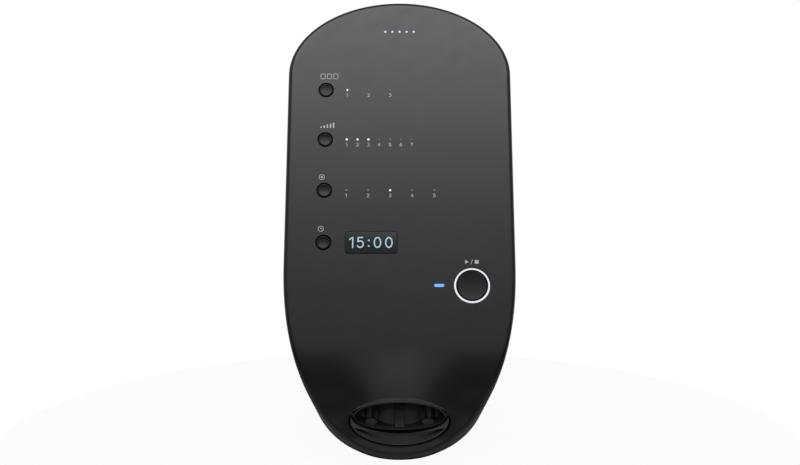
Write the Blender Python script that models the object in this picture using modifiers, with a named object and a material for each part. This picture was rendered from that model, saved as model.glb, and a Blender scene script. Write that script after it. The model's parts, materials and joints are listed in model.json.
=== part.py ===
"""Compression therapy pump: a table-top air pump with a leaning face, buttons, lights and a hose port.

Metres, +Z up. The face looks towards -Y and leans back. The origin is the middle of the footprint, on the table.
"""

import math

import bmesh
import bpy
from mathutils import Matrix, Vector

MM = 0.001

# Overall form
DEPTH = 127 * MM
LEAN = math.radians(22)
BACK_LEAN = math.radians(5)
FACE_FOOT_HEIGHT = 9.5 * MM
UNDERSIDE_HEIGHT = 2 * MM
WALL = 2.2 * MM
GAP = 0.3 * MM
FINE_GAP = 0.15 * MM
OVERRUN = 1 * MM

# Outline of the face: a half ellipse on straight sides on a fuller rounded foot
HALF_WIDTH = 54.35 * MM
BOTTOM_RISE = 88.7 * MM
SIDE_HEIGHT = 96.2 * MM
TOP_RISE = 38.6 * MM
BOTTOM_POWER_ACROSS = 2.17
BOTTOM_POWER_UP = 2.155
FACE_HEIGHT = BOTTOM_RISE + SIDE_HEIGHT + TOP_RISE

# Front cover
CHIN_SETBACK = 7 * MM
CHIN_LOW = 14 * MM
CHIN_STEEP = 28 * MM
CHIN_HIGH = 52 * MM
HOOD_FLAT_HALF_WIDTH = 4 * MM
HOOD_HALF_WIDTH = 32 * MM
HOOD_FADE_LOW = 8 * MM
HOOD_FADE_HIGH = 19 * MM
HOOD_FLARE = 1.2 * MM
HOOD_FLARE_HIGH = 46 * MM
COVER_EDGE_RADIUS = 2.4 * MM
COVER_SKIRT = 4.6 * MM

# Rear housing
BACK_EDGE_RADIUS = 16 * MM
FLOOR_EDGE_RADIUS = 10 * MM
FLOOR_EDGE_END = 38 * MM
BACK_EDGE_START = 78 * MM
HEEL_BLEND = 18 * MM

# Fineness of the two shells
OUTLINE_STEPS = 36
OUTLINE_SAMPLES = 1200
LOW_DETAIL_HEIGHT = 62 * MM
LOW_DETAIL = 1.9
TURN_DETAIL = 45 * MM
SPINE_LOW = 16 * MM
SPINE_DROP_START = 145 * MM
SPINE_DROP_SHARE = 0.42
COVER_FILLET_STEPS = 3
BACK_FILLET_STEPS = 4
COVER_RING_SHARES = (0.12, 0.24, 0.36, 0.49, 0.64, 0.82, 1.0)
BACK_RING_SHARES = (0.3, 0.65, 1.0)

# Hose port: an oval socket under the hood, pointing forward and down
PORT_DROP = math.radians(25)
PORT_LIP_HEIGHT = 26.4 * MM
PORT_LIP_REACH = 1.3 * MM
PORT_LIP_WALL = 3.1 * MM
PORT_LIP_SIDE_WALL = 0.7 * MM
BORE_HALF_WIDTH = 22.8 * MM
BORE_HALF_HEIGHT = 9.2 * MM
BORE_LOWER_HEIGHT = 8.1 * MM
BORE_STEPS = 40
SOCKET_WALL = 0.7 * MM
SOCKET_DEPTH = 21 * MM
SOCKET_RIM_BACK = 0.6 * MM
SOCKET_RIM_TILT = math.radians(10)
SOCKET_MOUTH_RISE = math.radians(31)
SCOOP_WALL = 0.5 * MM
SCOOP_CORNER_DROP = 2.6 * MM
SCOOP_MIDDLE_DROP = 4.2 * MM
SCOOP_STEPS = 16
INSERT_WALL = 0.7 * MM
INSERT_BACK = 2 * MM
CONTACT_LEVEL = -14.2 * MM
CONTACT_FOOT = 15.4 * MM
CONTACT_RISE = 10 * MM
CONTACT_TOP = 0.3 * MM
CONTACT_END = CONTACT_FOOT + CONTACT_RISE
PORT_RIB_WIDTH = 4.5 * MM
PORT_RIB_PROUD = 1.2 * MM
PORT_RIB_DROP = 3 * MM
PORT_LUG_SPACING = 27.9 * MM
PORT_LUG_RADIUS = 2.17 * MM
PORT_LUG_HEAD_RADIUS = 3.2 * MM
PORT_LUG_HEAD_RATIO = 0.66
PORT_LUG_HEAD_INSET = 0.75 * MM
PORT_LUG_HEAD_UP = 17.1 * MM
PORT_LUG_HEAD_PROUD = 2.4 * MM
PORT_SLOT_ACROSS = 10.8 * MM
PORT_SLOT_WIDTH = 2 * MM
PORT_SLOT_DEPTH = 2.4 * MM
PORT_SLOT_FOOT = 18.8 * MM
NIPPLE_RADIUS = 1.6 * MM
NIPPLE_LENGTH = 5 * MM
NIPPLE_SPACING = 10 * MM

# Small buttons, in a column at the left of the face
BUTTON_COLUMN = -35.75 * MM
BUTTON_LOWEST = 99.15 * MM
BUTTON_PITCH = 25.67 * MM
BUTTON_NAMES = ("time_button", "zone_button", "pressure_button", "attachment_button")
BUTTON_RADIUS = 3.1 * MM
BUTTON_GROOVE = 0.6 * MM
BUTTON_DISH_DEPTH = 0.7 * MM
START_DISH_DEPTH = 0.8 * MM
DISH_FLOOR_SHARE = 0.55
DISH_RIM_SHARE = 0.9
POWER_BUTTON_DOME = 0.5 * MM
BUTTON_RIM_SHARE = 0.85
BUTTON_FLANGE_RADIUS = 4.4 * MM
BUTTON_FLANGE = 0.9 * MM
BUTTON_TRAVEL = 0.8 * MM
STEM_RADIUS = 1.2 * MM
STEM_HOLE_RADIUS = 1.6 * MM
STEM_SEAT = 0.3 * MM
STEM_HOLE_DEPTH = 1.6 * MM

# Start button in its light ring
START_ACROSS = 33.7 * MM
START_UP = 78.4 * MM
RING_RADIUS = 8.25 * MM
RING_WIDTH = 0.95 * MM
RING_FLANGE_RADIUS = 10 * MM
START_FLANGE_RADIUS = 9 * MM

# Display
DISPLAY_ACROSS = -13.3 * MM
DISPLAY_UP = 99.1 * MM
WINDOW_WIDTH = 24.5 * MM
WINDOW_HEIGHT = 10.8 * MM
WINDOW_CORNER = 1.4 * MM
WINDOW_SINK = 0.25 * MM
WINDOW_FLANGE = 1.6 * MM
WINDOW_FLANGE_THICKNESS = 0.9 * MM
DISPLAY_MARGIN = 2.6 * MM

# Indicator lights: each row is across of the first, height and pitch
LIGHT_ROWS = {
    "zone_light_pipe": (-25.4 * MM, 124.9 * MM, 10.47 * MM),
    "pressure_light_pipe": (-25.4 * MM, 150.6 * MM, 5.2 * MM),
    "attachment_light_pipe": (-25.4 * MM, 176.2 * MM, 10.4 * MM),
    "battery_light_pipe": (-7.05 * MM, 207.3 * MM, 3.52 * MM),
}
LIGHT_COUNTS = {
    "zone_light_pipe": 5,
    "pressure_light_pipe": 7,
    "attachment_light_pipe": 3,
    "battery_light_pipe": 5,
}
LIGHT_RADIUS = 0.5 * MM
LIGHT_SINK = 0.1 * MM
LIGHT_BAR_HEIGHT = 3 * MM
LIGHT_BAR_THICKNESS = 1.6 * MM
LIGHT_LEG_WIDTH = 2 * MM
STATUS_ACROSS = 18.4 * MM
STATUS_WIDTH = 4.6 * MM
STATUS_HEIGHT = 1.4 * MM
STATUS_BAR_END = 4 * MM

# Control board, parallel to the face
BOARD_DEPTH = 12 * MM
BOARD_THICKNESS = 1.6 * MM
BOARD_HALF_WIDTH = 40 * MM
BOARD_BOTTOM = 66 * MM
BOARD_SHOULDER = 190 * MM
BOARD_TOP = 212 * MM
BOARD_TONGUE_HALF_WIDTH = 13 * MM
BOARD_SCREW_PLACES = ((-29 * MM, 72 * MM), (14 * MM, 72 * MM), (-31 * MM, 186 * MM), (31 * MM, 186 * MM))
BOSS_RADIUS = 2.8 * MM
SCREW_RADIUS = 1 * MM
SCREW_HEAD_RADIUS = 2.2 * MM
SCREW_HEAD = 1.4 * MM
SCREW_LENGTH = 6.5 * MM
SCREW_CLEARANCE = 0.25 * MM
SWITCH_SIZE = 6 * MM
SWITCH_HEIGHT = 3.4 * MM
BOARD_PARTS = (
    # across, up, width, height, thickness
    (0 * MM, 140 * MM, 14 * MM, 14 * MM, 1.8 * MM),
    (-22 * MM, 120 * MM, 9 * MM, 7 * MM, 1.6 * MM),
    (24 * MM, 160 * MM, 8 * MM, 22 * MM, 6 * MM),
    (4 * MM, 84 * MM, 26 * MM, 5 * MM, 6 * MM),
)

# Snap hooks that hold the two shells together
HOOK_WIDTH = 8 * MM
HOOK_THICKNESS = 1.8 * MM
HOOK_LENGTH = 9 * MM
HOOK_HEIGHTS = (110 * MM, 170 * MM)

# Feet
FOOT_RADIUS = 6.5 * MM
FOOT_BEVEL = 0.5 * MM
FOOT_HEIGHT = UNDERSIDE_HEIGHT - GAP
FOOT_NAMES = ("foot_front_left", "foot_front_right", "foot_rear_left", "foot_rear_right")
FRONT_FOOT_ACROSS = 17 * MM
FRONT_FOOT_INSET = 47.5 * MM
FRONT_FOOT_ALONG = -DEPTH / 2 + FRONT_FOOT_INSET
REAR_FOOT_ACROSS = 32 * MM
REAR_FOOT_INSET = 21.5 * MM
REAR_FOOT_ALONG = DEPTH / 2 - REAR_FOOT_INSET

# Chassis
CHASSIS_HEIGHT = 10 * MM
CHASSIS_THICKNESS = 2 * MM
CHASSIS_HALF_WIDTH = 29 * MM
CHASSIS_FRONT_INSET = 39.5 * MM
CHASSIS_BACK_INSET = 17.5 * MM
CHASSIS_FRONT = -DEPTH / 2 + CHASSIS_FRONT_INSET
CHASSIS_BACK = DEPTH / 2 - CHASSIS_BACK_INSET
CHASSIS_SCREW_ACROSS = 23 * MM
CHASSIS_SCREW_FRONT = CHASSIS_FRONT + 18 * MM
CHASSIS_SCREW_BACK = CHASSIS_BACK - 6 * MM
POST_RADIUS = 3.4 * MM
CHASSIS_TOP = CHASSIS_HEIGHT + CHASSIS_THICKNESS
CHASSIS_SCREW_PLACES = tuple(
    (side * CHASSIS_SCREW_ACROSS, along) for side in (-1, 1) for along in (CHASSIS_SCREW_FRONT, CHASSIS_SCREW_BACK)
)

# Pump, on the chassis, with its shaft along X
PUMP_ALONG = (CHASSIS_FRONT + CHASSIS_BACK) / 2 + 5.65 * MM
MOTOR_RADIUS = 12 * MM
MOTOR_END_CLEARANCE = 10.85 * MM
MOTOR_FRONT = -7 * MM
MOTOR_LENGTH = HALF_WIDTH - WALL - MOTOR_END_CLEARANCE + MOTOR_FRONT - GAP
CRANKCASE_WIDTH = 27 * MM
CRANKCASE_DEPTH = 27 * MM
CRANKCASE_HEIGHT = 28 * MM
CRANKCASE_WALL = 3 * MM
MOUNT_RADIUS = 5 * MM
MOUNT_HEIGHT = 6 * MM
MOUNT_SPREAD = 16 * MM
SHAFT_RADIUS = 1.6 * MM
SHAFT_END_PLAY = 1 * MM
ECCENTRIC_RADIUS = 4 * MM
ECCENTRIC_OFFSET = 1 * MM
ECCENTRIC_LENGTH = 7 * MM
ROD_STROKE = 1 * MM
ROD_RING_WALL = 1.8 * MM
ROD_RING_LENGTH = 5 * MM
ROD_RADIUS = 2 * MM
PLATE_RADIUS = 8.5 * MM
PLATE_THICKNESS = 2 * MM
DIAPHRAGM_THICKNESS = 2.6 * MM
HEAD_HEIGHT = 11 * MM
HEAD_ROOF = 3 * MM
HEAD_NIPPLE_OFFSET = 7 * MM
SHAFT_SEAT = 6 * MM
MOUNT_OFFSET = 7 * MM
PUMP_BASE = CHASSIS_TOP + MOUNT_HEIGHT + GAP
CRANKCASE_LEFT = MOTOR_FRONT
CRANKCASE_RIGHT = CRANKCASE_LEFT + CRANKCASE_WIDTH
CRANKCASE_TOP = PUMP_BASE + CRANKCASE_HEIGHT
PUMP_CENTRE = (CRANKCASE_LEFT + CRANKCASE_RIGHT) / 2
SHAFT_HEIGHT = PUMP_BASE + MOTOR_RADIUS + GAP
MOUNT_LEFT = CRANKCASE_LEFT + CRANKCASE_WALL
MOUNT_RIGHT = CRANKCASE_RIGHT - CRANKCASE_WALL
HEAD_BASE = CRANKCASE_TOP + DIAPHRAGM_THICKNESS + 2 * GAP
HEAD_TOP = HEAD_BASE + HEAD_HEIGHT
PLATE_BASE = HEAD_BASE + ROD_STROKE + 2 * GAP

# Valves, on a manifold across the machine
MANIFOLD_HALF_WIDTH = 31 * MM
MANIFOLD_DEPTH = 12 * MM
MANIFOLD_HEIGHT = 12 * MM
MANIFOLD_INSET = 10 * MM
MANIFOLD_ALONG = CHASSIS_FRONT + MANIFOLD_INSET
MANIFOLD_BASE = 33 * MM
MANIFOLD_POST_WIDTH = 5 * MM
VALVE_COUNT = 4
VALVE_PITCH = 15.5 * MM
VALVE_RADIUS = 6.3 * MM
VALVE_HEIGHT = 20 * MM
PLUNGER_RADIUS = 2.7 * MM
PLUNGER_LENGTH = 13 * MM
PLUNGER_TRAVEL = 1 * MM
PLUNGER_PROUD = 1.6 * MM
MANIFOLD_TOP = MANIFOLD_BASE + MANIFOLD_HEIGHT
MANIFOLD_MIDDLE = MANIFOLD_BASE + MANIFOLD_HEIGHT / 2
VALVE_PLACES = tuple((index - (VALVE_COUNT - 1) / 2) * VALVE_PITCH for index in range(VALVE_COUNT))
NIPPLE_PLACES = tuple(((index - (VALVE_COUNT - 1) / 2) * NIPPLE_SPACING, 0 * MM) for index in range(VALVE_COUNT))

# Hoses
HOSE_RADIUS = 2 * MM
HOSE_LEAD = 2 * MM
HOSE_STEPS = 9
HOSE_SIDES = 12
HOSE_LEVEL_SHARE = 0.9
PORT_HOSE_REACH = 3.5 * MM
PUMP_HOSE_RISE = 12 * MM

# Battery and its door, in the back
CELL_DIAMETER = 18.4 * MM
CELL_COUNT = 4
PACK_HEIGHT = 66 * MM
PACK_CENTRE_UP = 128 * MM
DOOR_MARGIN = 2.6 * MM
DOOR_RIM = 3 * MM
DOOR_THICKNESS = 1.6 * MM
SHELF_THICKNESS = 2 * MM
CELL_EDGE_SHARE = 0.3
PACK_HALF_WIDTH = CELL_DIAMETER * CELL_COUNT / 2
DOOR_WIDTH = 2 * (PACK_HALF_WIDTH + DOOR_MARGIN)
DOOR_HEIGHT = PACK_HEIGHT + 2 * DOOR_MARGIN

# Power board with DC inlet and power switch, inside the back
POWER_BOARD_DEPTH = 15 * MM
POWER_BOARD_HALF_WIDTH = 26 * MM
POWER_BOARD_HEIGHT = 30 * MM
POWER_BOARD_LIFT = 1.6 * MM
INLET_ACROSS = -15 * MM
POWER_BUTTON_ACROSS = 15 * MM
SERVICE_UP = 27 * MM
INLET_BODY = 9.6 * MM
INLET_NOSE_RADIUS = 4.3 * MM
INLET_BORE_RADIUS = 3 * MM
INLET_BORE_DEPTH = 9 * MM
INLET_PIN_RADIUS = 1 * MM
POWER_BUTTON_RADIUS = 5 * MM

ROUND_STEPS = 24
RING_STEPS = 32
BUTTON_STEPS = 20
SMALL_ROUND_STEPS = 12
TINY_ROUND_STEPS = 8

COLLECTION = "compression_therapy_pump"


def clear_scene():
    for obj in list(bpy.data.objects):
        bpy.data.objects.remove(obj, do_unlink=True)


def new_collection(name):
    collection = bpy.data.collections.new(name)
    bpy.context.scene.collection.children.link(collection)
    return collection


clear_scene()
PARTS = new_collection(COLLECTION)
CUTTERS = new_collection("cutters")


def material(name, colour, roughness, metallic=0.0, emission=0.0):
    made = bpy.data.materials.get(name)
    if made:
        return made
    made = bpy.data.materials.new(name)
    made.use_nodes = True
    made.diffuse_color = (*colour, 1.0)
    shader = made.node_tree.nodes["Principled BSDF"]
    shader.inputs["Base Color"].default_value = (*colour, 1.0)
    shader.inputs["Roughness"].default_value = roughness
    shader.inputs["Metallic"].default_value = metallic
    if emission:
        shader.inputs["Emission Color"].default_value = (*colour, 1.0)
        shader.inputs["Emission Strength"].default_value = emission
    return made


COVER_BLACK = ("cover_black", (0.045, 0.043, 0.041), 0.38)
HOUSING_BLACK = ("housing_black", (0.04, 0.04, 0.042), 0.5)
BUTTON_BLACK = ("button_black", (0.012, 0.012, 0.012), 0.5)
WINDOW_GREY = ("window_grey", (0.02, 0.022, 0.024), 0.15)
DISPLAY_BLACK = ("display_black", (0.015, 0.015, 0.018), 0.4)
RING_WHITE = ("ring_white", (0.8, 0.84, 0.86), 0.4)
LIGHT_BLUE = ("light_blue", (0.2, 0.6, 0.95), 0.3)
FOOT_RUBBER = ("foot_rubber", (0.02, 0.02, 0.02), 0.85)
BOARD_GREEN = ("board_green", (0.02, 0.16, 0.07), 0.5)
STEEL = ("steel", (0.6, 0.6, 0.62), 0.3, 1.0)
MOUNT_RUBBER = ("mount_rubber", (0.05, 0.05, 0.055), 0.8)
CHASSIS_GREY = ("chassis_grey", (0.3, 0.31, 0.32), 0.5)
PUMP_IVORY = ("pump_ivory", (0.7, 0.68, 0.6), 0.45)
SILICONE = ("silicone", (0.75, 0.77, 0.78), 0.35)
PACK_BLUE = ("pack_blue", (0.03, 0.12, 0.4), 0.4)
INLET_BLACK = ("inlet_black", (0.015, 0.015, 0.016), 0.45)


def smooth(share):
    """0 to 1 with level ends."""
    share = min(max(share, 0.0), 1.0)
    return share * share * (3 - 2 * share)


def frame_empty(name, matrix):
    empty = bpy.data.objects.new(name, None)
    PARTS.objects.link(empty)
    empty.matrix_world = matrix
    return empty


def chin_share(up):
    """How far the chin is set back at this height: the slope rises to its steepest, then eases off."""
    whole = (CHIN_HIGH - CHIN_LOW) / 2
    if up >= CHIN_HIGH:
        return 0.0
    if up >= CHIN_STEEP:
        return (CHIN_HIGH - up) ** 2 / (2 * (CHIN_HIGH - CHIN_STEEP)) / whole
    if up >= CHIN_LOW:
        return 1 - (up - CHIN_LOW) ** 2 / (2 * (CHIN_STEEP - CHIN_LOW)) / whole
    return 1.0


def hood_share(across, up):
    """1 on the hood over the port, 0 beside and below it."""
    beside = (abs(across) - HOOD_FLAT_HALF_WIDTH) / (HOOD_HALF_WIDTH - HOOD_FLAT_HALF_WIDTH)
    return (1 - smooth(beside)) * smooth((up - HOOD_FADE_LOW) / (HOOD_FADE_HIGH - HOOD_FADE_LOW))


def cover_surface(across, up):
    """Height of the cover's outer surface over the face plane."""
    hood = hood_share(across, up)
    flare = smooth((HOOD_FLARE_HIGH - up) / (HOOD_FLARE_HIGH - PORT_LIP_HEIGHT))
    return -CHIN_SETBACK * chin_share(up) * (1 - hood) + HOOD_FLARE * hood * flare


def seam_level(up):
    return -COVER_SKIRT - CHIN_SETBACK * chin_share(up)


def outline_curve():
    """Fine points of the right half of the outline, from the foot to the top."""
    points = []
    for step in range(OUTLINE_SAMPLES + 1):
        angle = math.radians(90) * (step / OUTLINE_SAMPLES - 1)
        across = HALF_WIDTH * math.cos(angle) ** (2 / BOTTOM_POWER_ACROSS)
        points.append((across, BOTTOM_RISE * (1 - (-math.sin(angle)) ** (2 / BOTTOM_POWER_UP))))
    for step in range(OUTLINE_SAMPLES + 1):
        angle = math.radians(90) * step / OUTLINE_SAMPLES
        side_top = BOTTOM_RISE + SIDE_HEIGHT
        points.append((HALF_WIDTH * math.cos(angle), side_top + TOP_RISE * math.sin(angle)))
    points[0] = (0.0, 0.0)
    points[-1] = (0.0, FACE_HEIGHT)
    return points


def outline_rows(steps):
    """Points of the right half with their inward normals, closer together in the detailed lower part."""
    fine = outline_curve()
    travelled = [0.0]
    heading = 0.0
    for (x0, y0), (x1, y1) in zip(fine, fine[1:]):
        detail = LOW_DETAIL if (y0 + y1) / 2 < LOW_DETAIL_HEIGHT else 1.0
        turn = max(math.atan2(y1 - y0, x1 - x0) - heading, 0.0)
        heading += turn
        travelled.append(travelled[-1] + math.hypot(x1 - x0, y1 - y0) * detail + turn * TURN_DETAIL)
    rows = []
    at = 0
    for step in range(steps + 1):
        goal = travelled[-1] * step / steps
        while at < len(travelled) - 2 and travelled[at + 1] < goal:
            at += 1
        (x0, y0), (x1, y1) = fine[at], fine[at + 1]
        length = travelled[at + 1] - travelled[at]
        share = (goal - travelled[at]) / length if length else 0.0
        across, up = x0 + (x1 - x0) * share, y0 + (y1 - y0) * share
        along = Vector((x1 - x0, y1 - y0)).normalized()
        inward = Vector((-along.y, along.x))
        if step in (0, steps):
            across = 0.0
            inward = Vector((0, 1 if step == 0 else -1))
        rows.append((across, up, inward))
    return rows


def spine_height(up):
    """Where the row that starts at this height on the outline meets the middle line."""
    low = SPINE_LOW * max(0.0, 1 - up / (2 * SPINE_LOW)) ** 2
    above = FACE_HEIGHT - SPINE_DROP_START
    high = max(0.0, up - SPINE_DROP_START) / above
    return up + low - SPINE_DROP_SHARE * above * high ** 2


def row_point(row, inset, share):
    """A point on a row: inset from the outline, then this share of the way to the middle line."""
    across, up, inward = row
    start = Vector((across, up)) + inward * inset
    return start.lerp(Vector((0.0, spine_height(up))), share)


def shell_from_rows(name, rows_of_points, inward_sign):
    """An open surface from one line of points per outline row, mirrored to the left side, faces outward."""
    mesh_bm = bmesh.new()
    right = [[mesh_bm.verts.new(point) for point in line] for line in rows_of_points]
    left = [[mesh_bm.verts.new((-p[0], p[1], p[2])) for p in line] for line in rows_of_points]
    for side, flip in ((right, False), (left, True)):
        for lower, upper in zip(side, side[1:]):
            for i in range(len(lower) - 1):
                corners = [lower[i], upper[i], upper[i + 1], lower[i + 1]]
                mesh_bm.faces.new(corners[::-1] if flip else corners)
    bmesh.ops.remove_doubles(mesh_bm, verts=mesh_bm.verts, dist=FINE_GAP / 10)
    mesh_bm.normal_update()
    total = sum(face.normal.z * face.calc_area() for face in mesh_bm.faces)
    if total * inward_sign > 0:
        bmesh.ops.reverse_faces(mesh_bm, faces=mesh_bm.faces)
    mesh = bpy.data.meshes.new(name)
    mesh_bm.to_mesh(mesh)
    mesh_bm.free()
    return mesh


def cover_line(row):
    """One line of the cover's outer surface, from its seam edge over the rounded edge to the middle line."""
    across, up, _ = row
    line = [(across, up, seam_level(up))]
    for step in range(COVER_FILLET_STEPS + 1):
        angle = math.radians(90) * step / COVER_FILLET_STEPS
        point = row_point(row, COVER_EDGE_RADIUS * (1 - math.cos(angle)), 0.0)
        level = cover_surface(point.x, point.y) - COVER_EDGE_RADIUS * (1 - math.sin(angle))
        line.append((point.x, point.y, level))
    for share in COVER_RING_SHARES:
        point = row_point(row, COVER_EDGE_RADIUS, share)
        line.append((point.x, point.y, cover_surface(point.x, point.y)))
    return line


ROWS = outline_rows(OUTLINE_STEPS)
COVER_LINES = [cover_line(row) for row in ROWS]


PORT_TURN = Matrix.Rotation(LEAN + PORT_DROP, 4, "X")
PORT_UP = PORT_TURN.to_3x3() @ Vector((0, 1, 0))
PORT_CENTRE = Vector((0, PORT_LIP_HEIGHT, PORT_LIP_REACH)) - PORT_UP * (BORE_HALF_HEIGHT + PORT_LIP_WALL)
PORT_ON_FACE = Matrix.Translation(PORT_CENTRE) @ PORT_TURN


def forward_reach(point):
    """How far behind the foot of the face plane a point lies, or nothing if the port's mouth takes it away."""
    in_port = PORT_ON_FACE.inverted() @ Vector(point)
    half_height = BORE_HALF_HEIGHT + PORT_LIP_WALL if in_port.y > 0 else BORE_LOWER_HEIGHT
    if math.hypot(in_port.x / BORE_HALF_WIDTH, in_port.y / half_height) < 1:
        return DEPTH
    return point[1] * math.sin(LEAN) - point[2] * math.cos(LEAN)


def back_frame(along):
    """The back's frame, with its own Z out of the back and its own Y up it."""
    foot = Matrix.Translation((0, along, UNDERSIDE_HEIGHT))
    turned_round = Matrix.Rotation(math.radians(180), 4, "Z")
    return foot @ turned_round @ Matrix.Rotation(math.radians(90) - BACK_LEAN, 4, "X")


FACE_FOOT_ALONG = -DEPTH / 2 - min(forward_reach(point) for line in COVER_LINES for point in line)
FACE_FOOT = Matrix.Translation((0, FACE_FOOT_ALONG, FACE_FOOT_HEIGHT))
FACE = FACE_FOOT @ Matrix.Rotation(math.radians(90) - LEAN, 4, "X")
BACK = back_frame(DEPTH / 2)


def floor_depth(up):
    """Depth behind the face plane at which this height on the face meets the underside."""
    return (FACE_FOOT_HEIGHT - UNDERSIDE_HEIGHT + up * math.cos(LEAN)) / math.sin(LEAN)


def back_depth(up):
    """Depth behind the face plane at which this height on the face meets the back."""
    point = FACE @ Vector((0, up, 0))
    plane_point = BACK.translation
    plane_normal = BACK.to_3x3() @ Vector((0, 0, 1))
    inward = FACE.to_3x3() @ Vector((0, 0, -1))
    return (plane_point - point).dot(plane_normal) / inward.dot(plane_normal)


def shell_depth(up):
    """The nearer of underside and back, with the heel between them rounded."""
    floor, back = floor_depth(up), back_depth(up)
    blend = max(HEEL_BLEND - abs(floor - back), 0) / HEEL_BLEND
    return min(floor, back) - blend * blend * HEEL_BLEND / 4


def rear_edge_radius(up):
    radius = FLOOR_EDGE_RADIUS + (BACK_EDGE_RADIUS - FLOOR_EDGE_RADIUS) * smooth(
        (up - FLOOR_EDGE_END) / (BACK_EDGE_START - FLOOR_EDGE_END)
    )
    return min(radius, (shell_depth(up) + seam_level(up)) / 2)


def rear_line(row):
    """One line of the rear housing's outer surface, from its seam edge along the side to the middle line."""
    across, up, _ = row
    radius = rear_edge_radius(up)
    line = [(across, up, seam_level(up) - GAP)]
    for step in range(BACK_FILLET_STEPS + 1):
        angle = math.radians(90) * step / BACK_FILLET_STEPS
        point = row_point(row, radius * (1 - math.cos(angle)), 0.0)
        line.append((point.x, point.y, -shell_depth(point.y) + radius * (1 - math.sin(angle))))
    for share in BACK_RING_SHARES:
        point = row_point(row, radius, share)
        line.append((point.x, point.y, -shell_depth(point.y)))
    return line


# The rounded heel ends short of the back plane, so the plane is moved out until the heel reaches the full depth
HEEL_REACH = max((FACE @ Vector(point)).y for row in ROWS for point in rear_line(row))
BACK = back_frame(DEPTH - HEEL_REACH)
PORT = FACE @ PORT_ON_FACE
FACE_EMPTY = frame_empty("face_frame", FACE)
BACK_EMPTY = frame_empty("back_frame", BACK)
PORT_EMPTY = frame_empty("port_frame", PORT)


def place(obj, parent=None, collection=PARTS):
    collection.objects.link(obj)
    if parent:
        obj.parent = parent
    return obj


def finish(obj, finish_values):
    obj.data.materials.clear()
    obj.data.materials.append(material(*finish_values))
    return obj


def shade(mesh):
    mesh.shade_smooth()
    mesh.set_sharp_from_angle(angle=math.radians(35))


def object_from(name, mesh_bm, parent, finish_values=None):
    mesh = bpy.data.meshes.new(name)
    mesh_bm.to_mesh(mesh)
    mesh_bm.free()
    shade(mesh)
    obj = place(bpy.data.objects.new(name, mesh), parent)
    return finish(obj, finish_values) if finish_values else obj


def box(name, low, high, parent=None, finish_values=None):
    """A box between two corners in its parent's frame, with its origin at its middle."""
    low, high = Vector(low), Vector(high)
    mesh_bm = bmesh.new()
    bmesh.ops.create_cube(mesh_bm, size=1)
    bmesh.ops.scale(mesh_bm, vec=high - low, verts=mesh_bm.verts)
    obj = object_from(name, mesh_bm, parent, finish_values)
    obj.location = (low + high) / 2
    return obj


def rod(name, start, length, radius, parent=None, finish_values=None, steps=ROUND_STEPS, turn=None, ratio=1.0):
    """A cylinder from start along its own +Z, turned by an optional matrix; ratio squashes it along its Y."""
    mesh_bm = bmesh.new()
    bmesh.ops.create_cone(
        mesh_bm, cap_ends=True, segments=steps, radius1=radius, radius2=radius, depth=length
    )
    bmesh.ops.translate(mesh_bm, verts=mesh_bm.verts, vec=(0, 0, length / 2))
    bmesh.ops.scale(mesh_bm, vec=(1, ratio, 1), verts=mesh_bm.verts)
    if turn:
        bmesh.ops.transform(mesh_bm, matrix=turn, verts=mesh_bm.verts)
    obj = object_from(name, mesh_bm, parent, finish_values)
    obj.location = start
    return obj


def turned(name, profile, start, parent=None, finish_values=None, steps=ROUND_STEPS, turn=None):
    """A turned piece: profile pairs of radius and height run from the top down its outer side."""
    mesh_bm = bmesh.new()
    verts = [mesh_bm.verts.new((radius, 0, height)) for radius, height in profile]
    for a, b in zip(verts, verts[1:]):
        mesh_bm.edges.new((a, b))
    mesh = bpy.data.meshes.new(name)
    mesh_bm.to_mesh(mesh)
    mesh_bm.free()
    obj = place(bpy.data.objects.new(name, mesh), parent)
    obj.location = start
    if turn:
        obj.rotation_euler = turn.to_euler()
    screw = obj.modifiers.new("screw", "SCREW")
    screw.steps = steps
    screw.render_steps = steps
    screw.use_merge_vertices = True
    screw.merge_threshold = FINE_GAP / 10
    screw.use_smooth_shade = True
    return finish(obj, finish_values) if finish_values else obj


def flat(name, points, low, high, parent=None, finish_values=None):
    """A flat piece cut from a plate: outline points in X and Y, faces at two levels."""
    curve = bpy.data.curves.new(name, "CURVE")
    curve.dimensions = "2D"
    curve.fill_mode = "BOTH"
    curve.extrude = (high - low) / 2
    spline = curve.splines.new("POLY")
    spline.points.add(len(points) - 1)
    for target, (x, y) in zip(spline.points, points):
        target.co = (x, y, 0, 1)
    spline.use_cyclic_u = True
    drawn = bpy.data.objects.new(name + "_outline", curve)
    bpy.context.scene.collection.objects.link(drawn)
    bpy.context.view_layer.update()
    mesh = bpy.data.meshes.new_from_object(drawn.evaluated_get(bpy.context.evaluated_depsgraph_get()))
    bpy.data.objects.remove(drawn)
    mesh_bm = bmesh.new()
    mesh_bm.from_mesh(mesh)
    bmesh.ops.remove_doubles(mesh_bm, verts=mesh_bm.verts, dist=FINE_GAP / 10)
    bmesh.ops.recalc_face_normals(mesh_bm, faces=mesh_bm.faces)
    obj = object_from(name, mesh_bm, parent, finish_values)
    obj.location = (0, 0, (low + high) / 2)
    return obj


def rounded_rectangle(across, up, width, height, corner, corner_steps=3):
    points = []
    for quarter, (sx, sy) in enumerate(((1, 1), (-1, 1), (-1, -1), (1, -1))):
        for step in range(corner_steps + 1):
            angle = math.radians(90) * (quarter + step / corner_steps)
            x = across + sx * (width / 2 - corner) + corner * math.cos(angle)
            points.append((x, up + sy * (height / 2 - corner) + corner * math.sin(angle)))
    return points


def hide(tool):
    for collection in list(tool.users_collection):
        collection.objects.unlink(tool)
    CUTTERS.objects.link(tool)
    tool.hide_render = True
    tool.display_type = "WIRE"


def combine(obj, tool, operation):
    modifier = obj.modifiers.new(tool.name, "BOOLEAN")
    modifier.operation = operation
    modifier.solver = "EXACT"
    modifier.object = tool
    hide(tool)
    return obj


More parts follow.
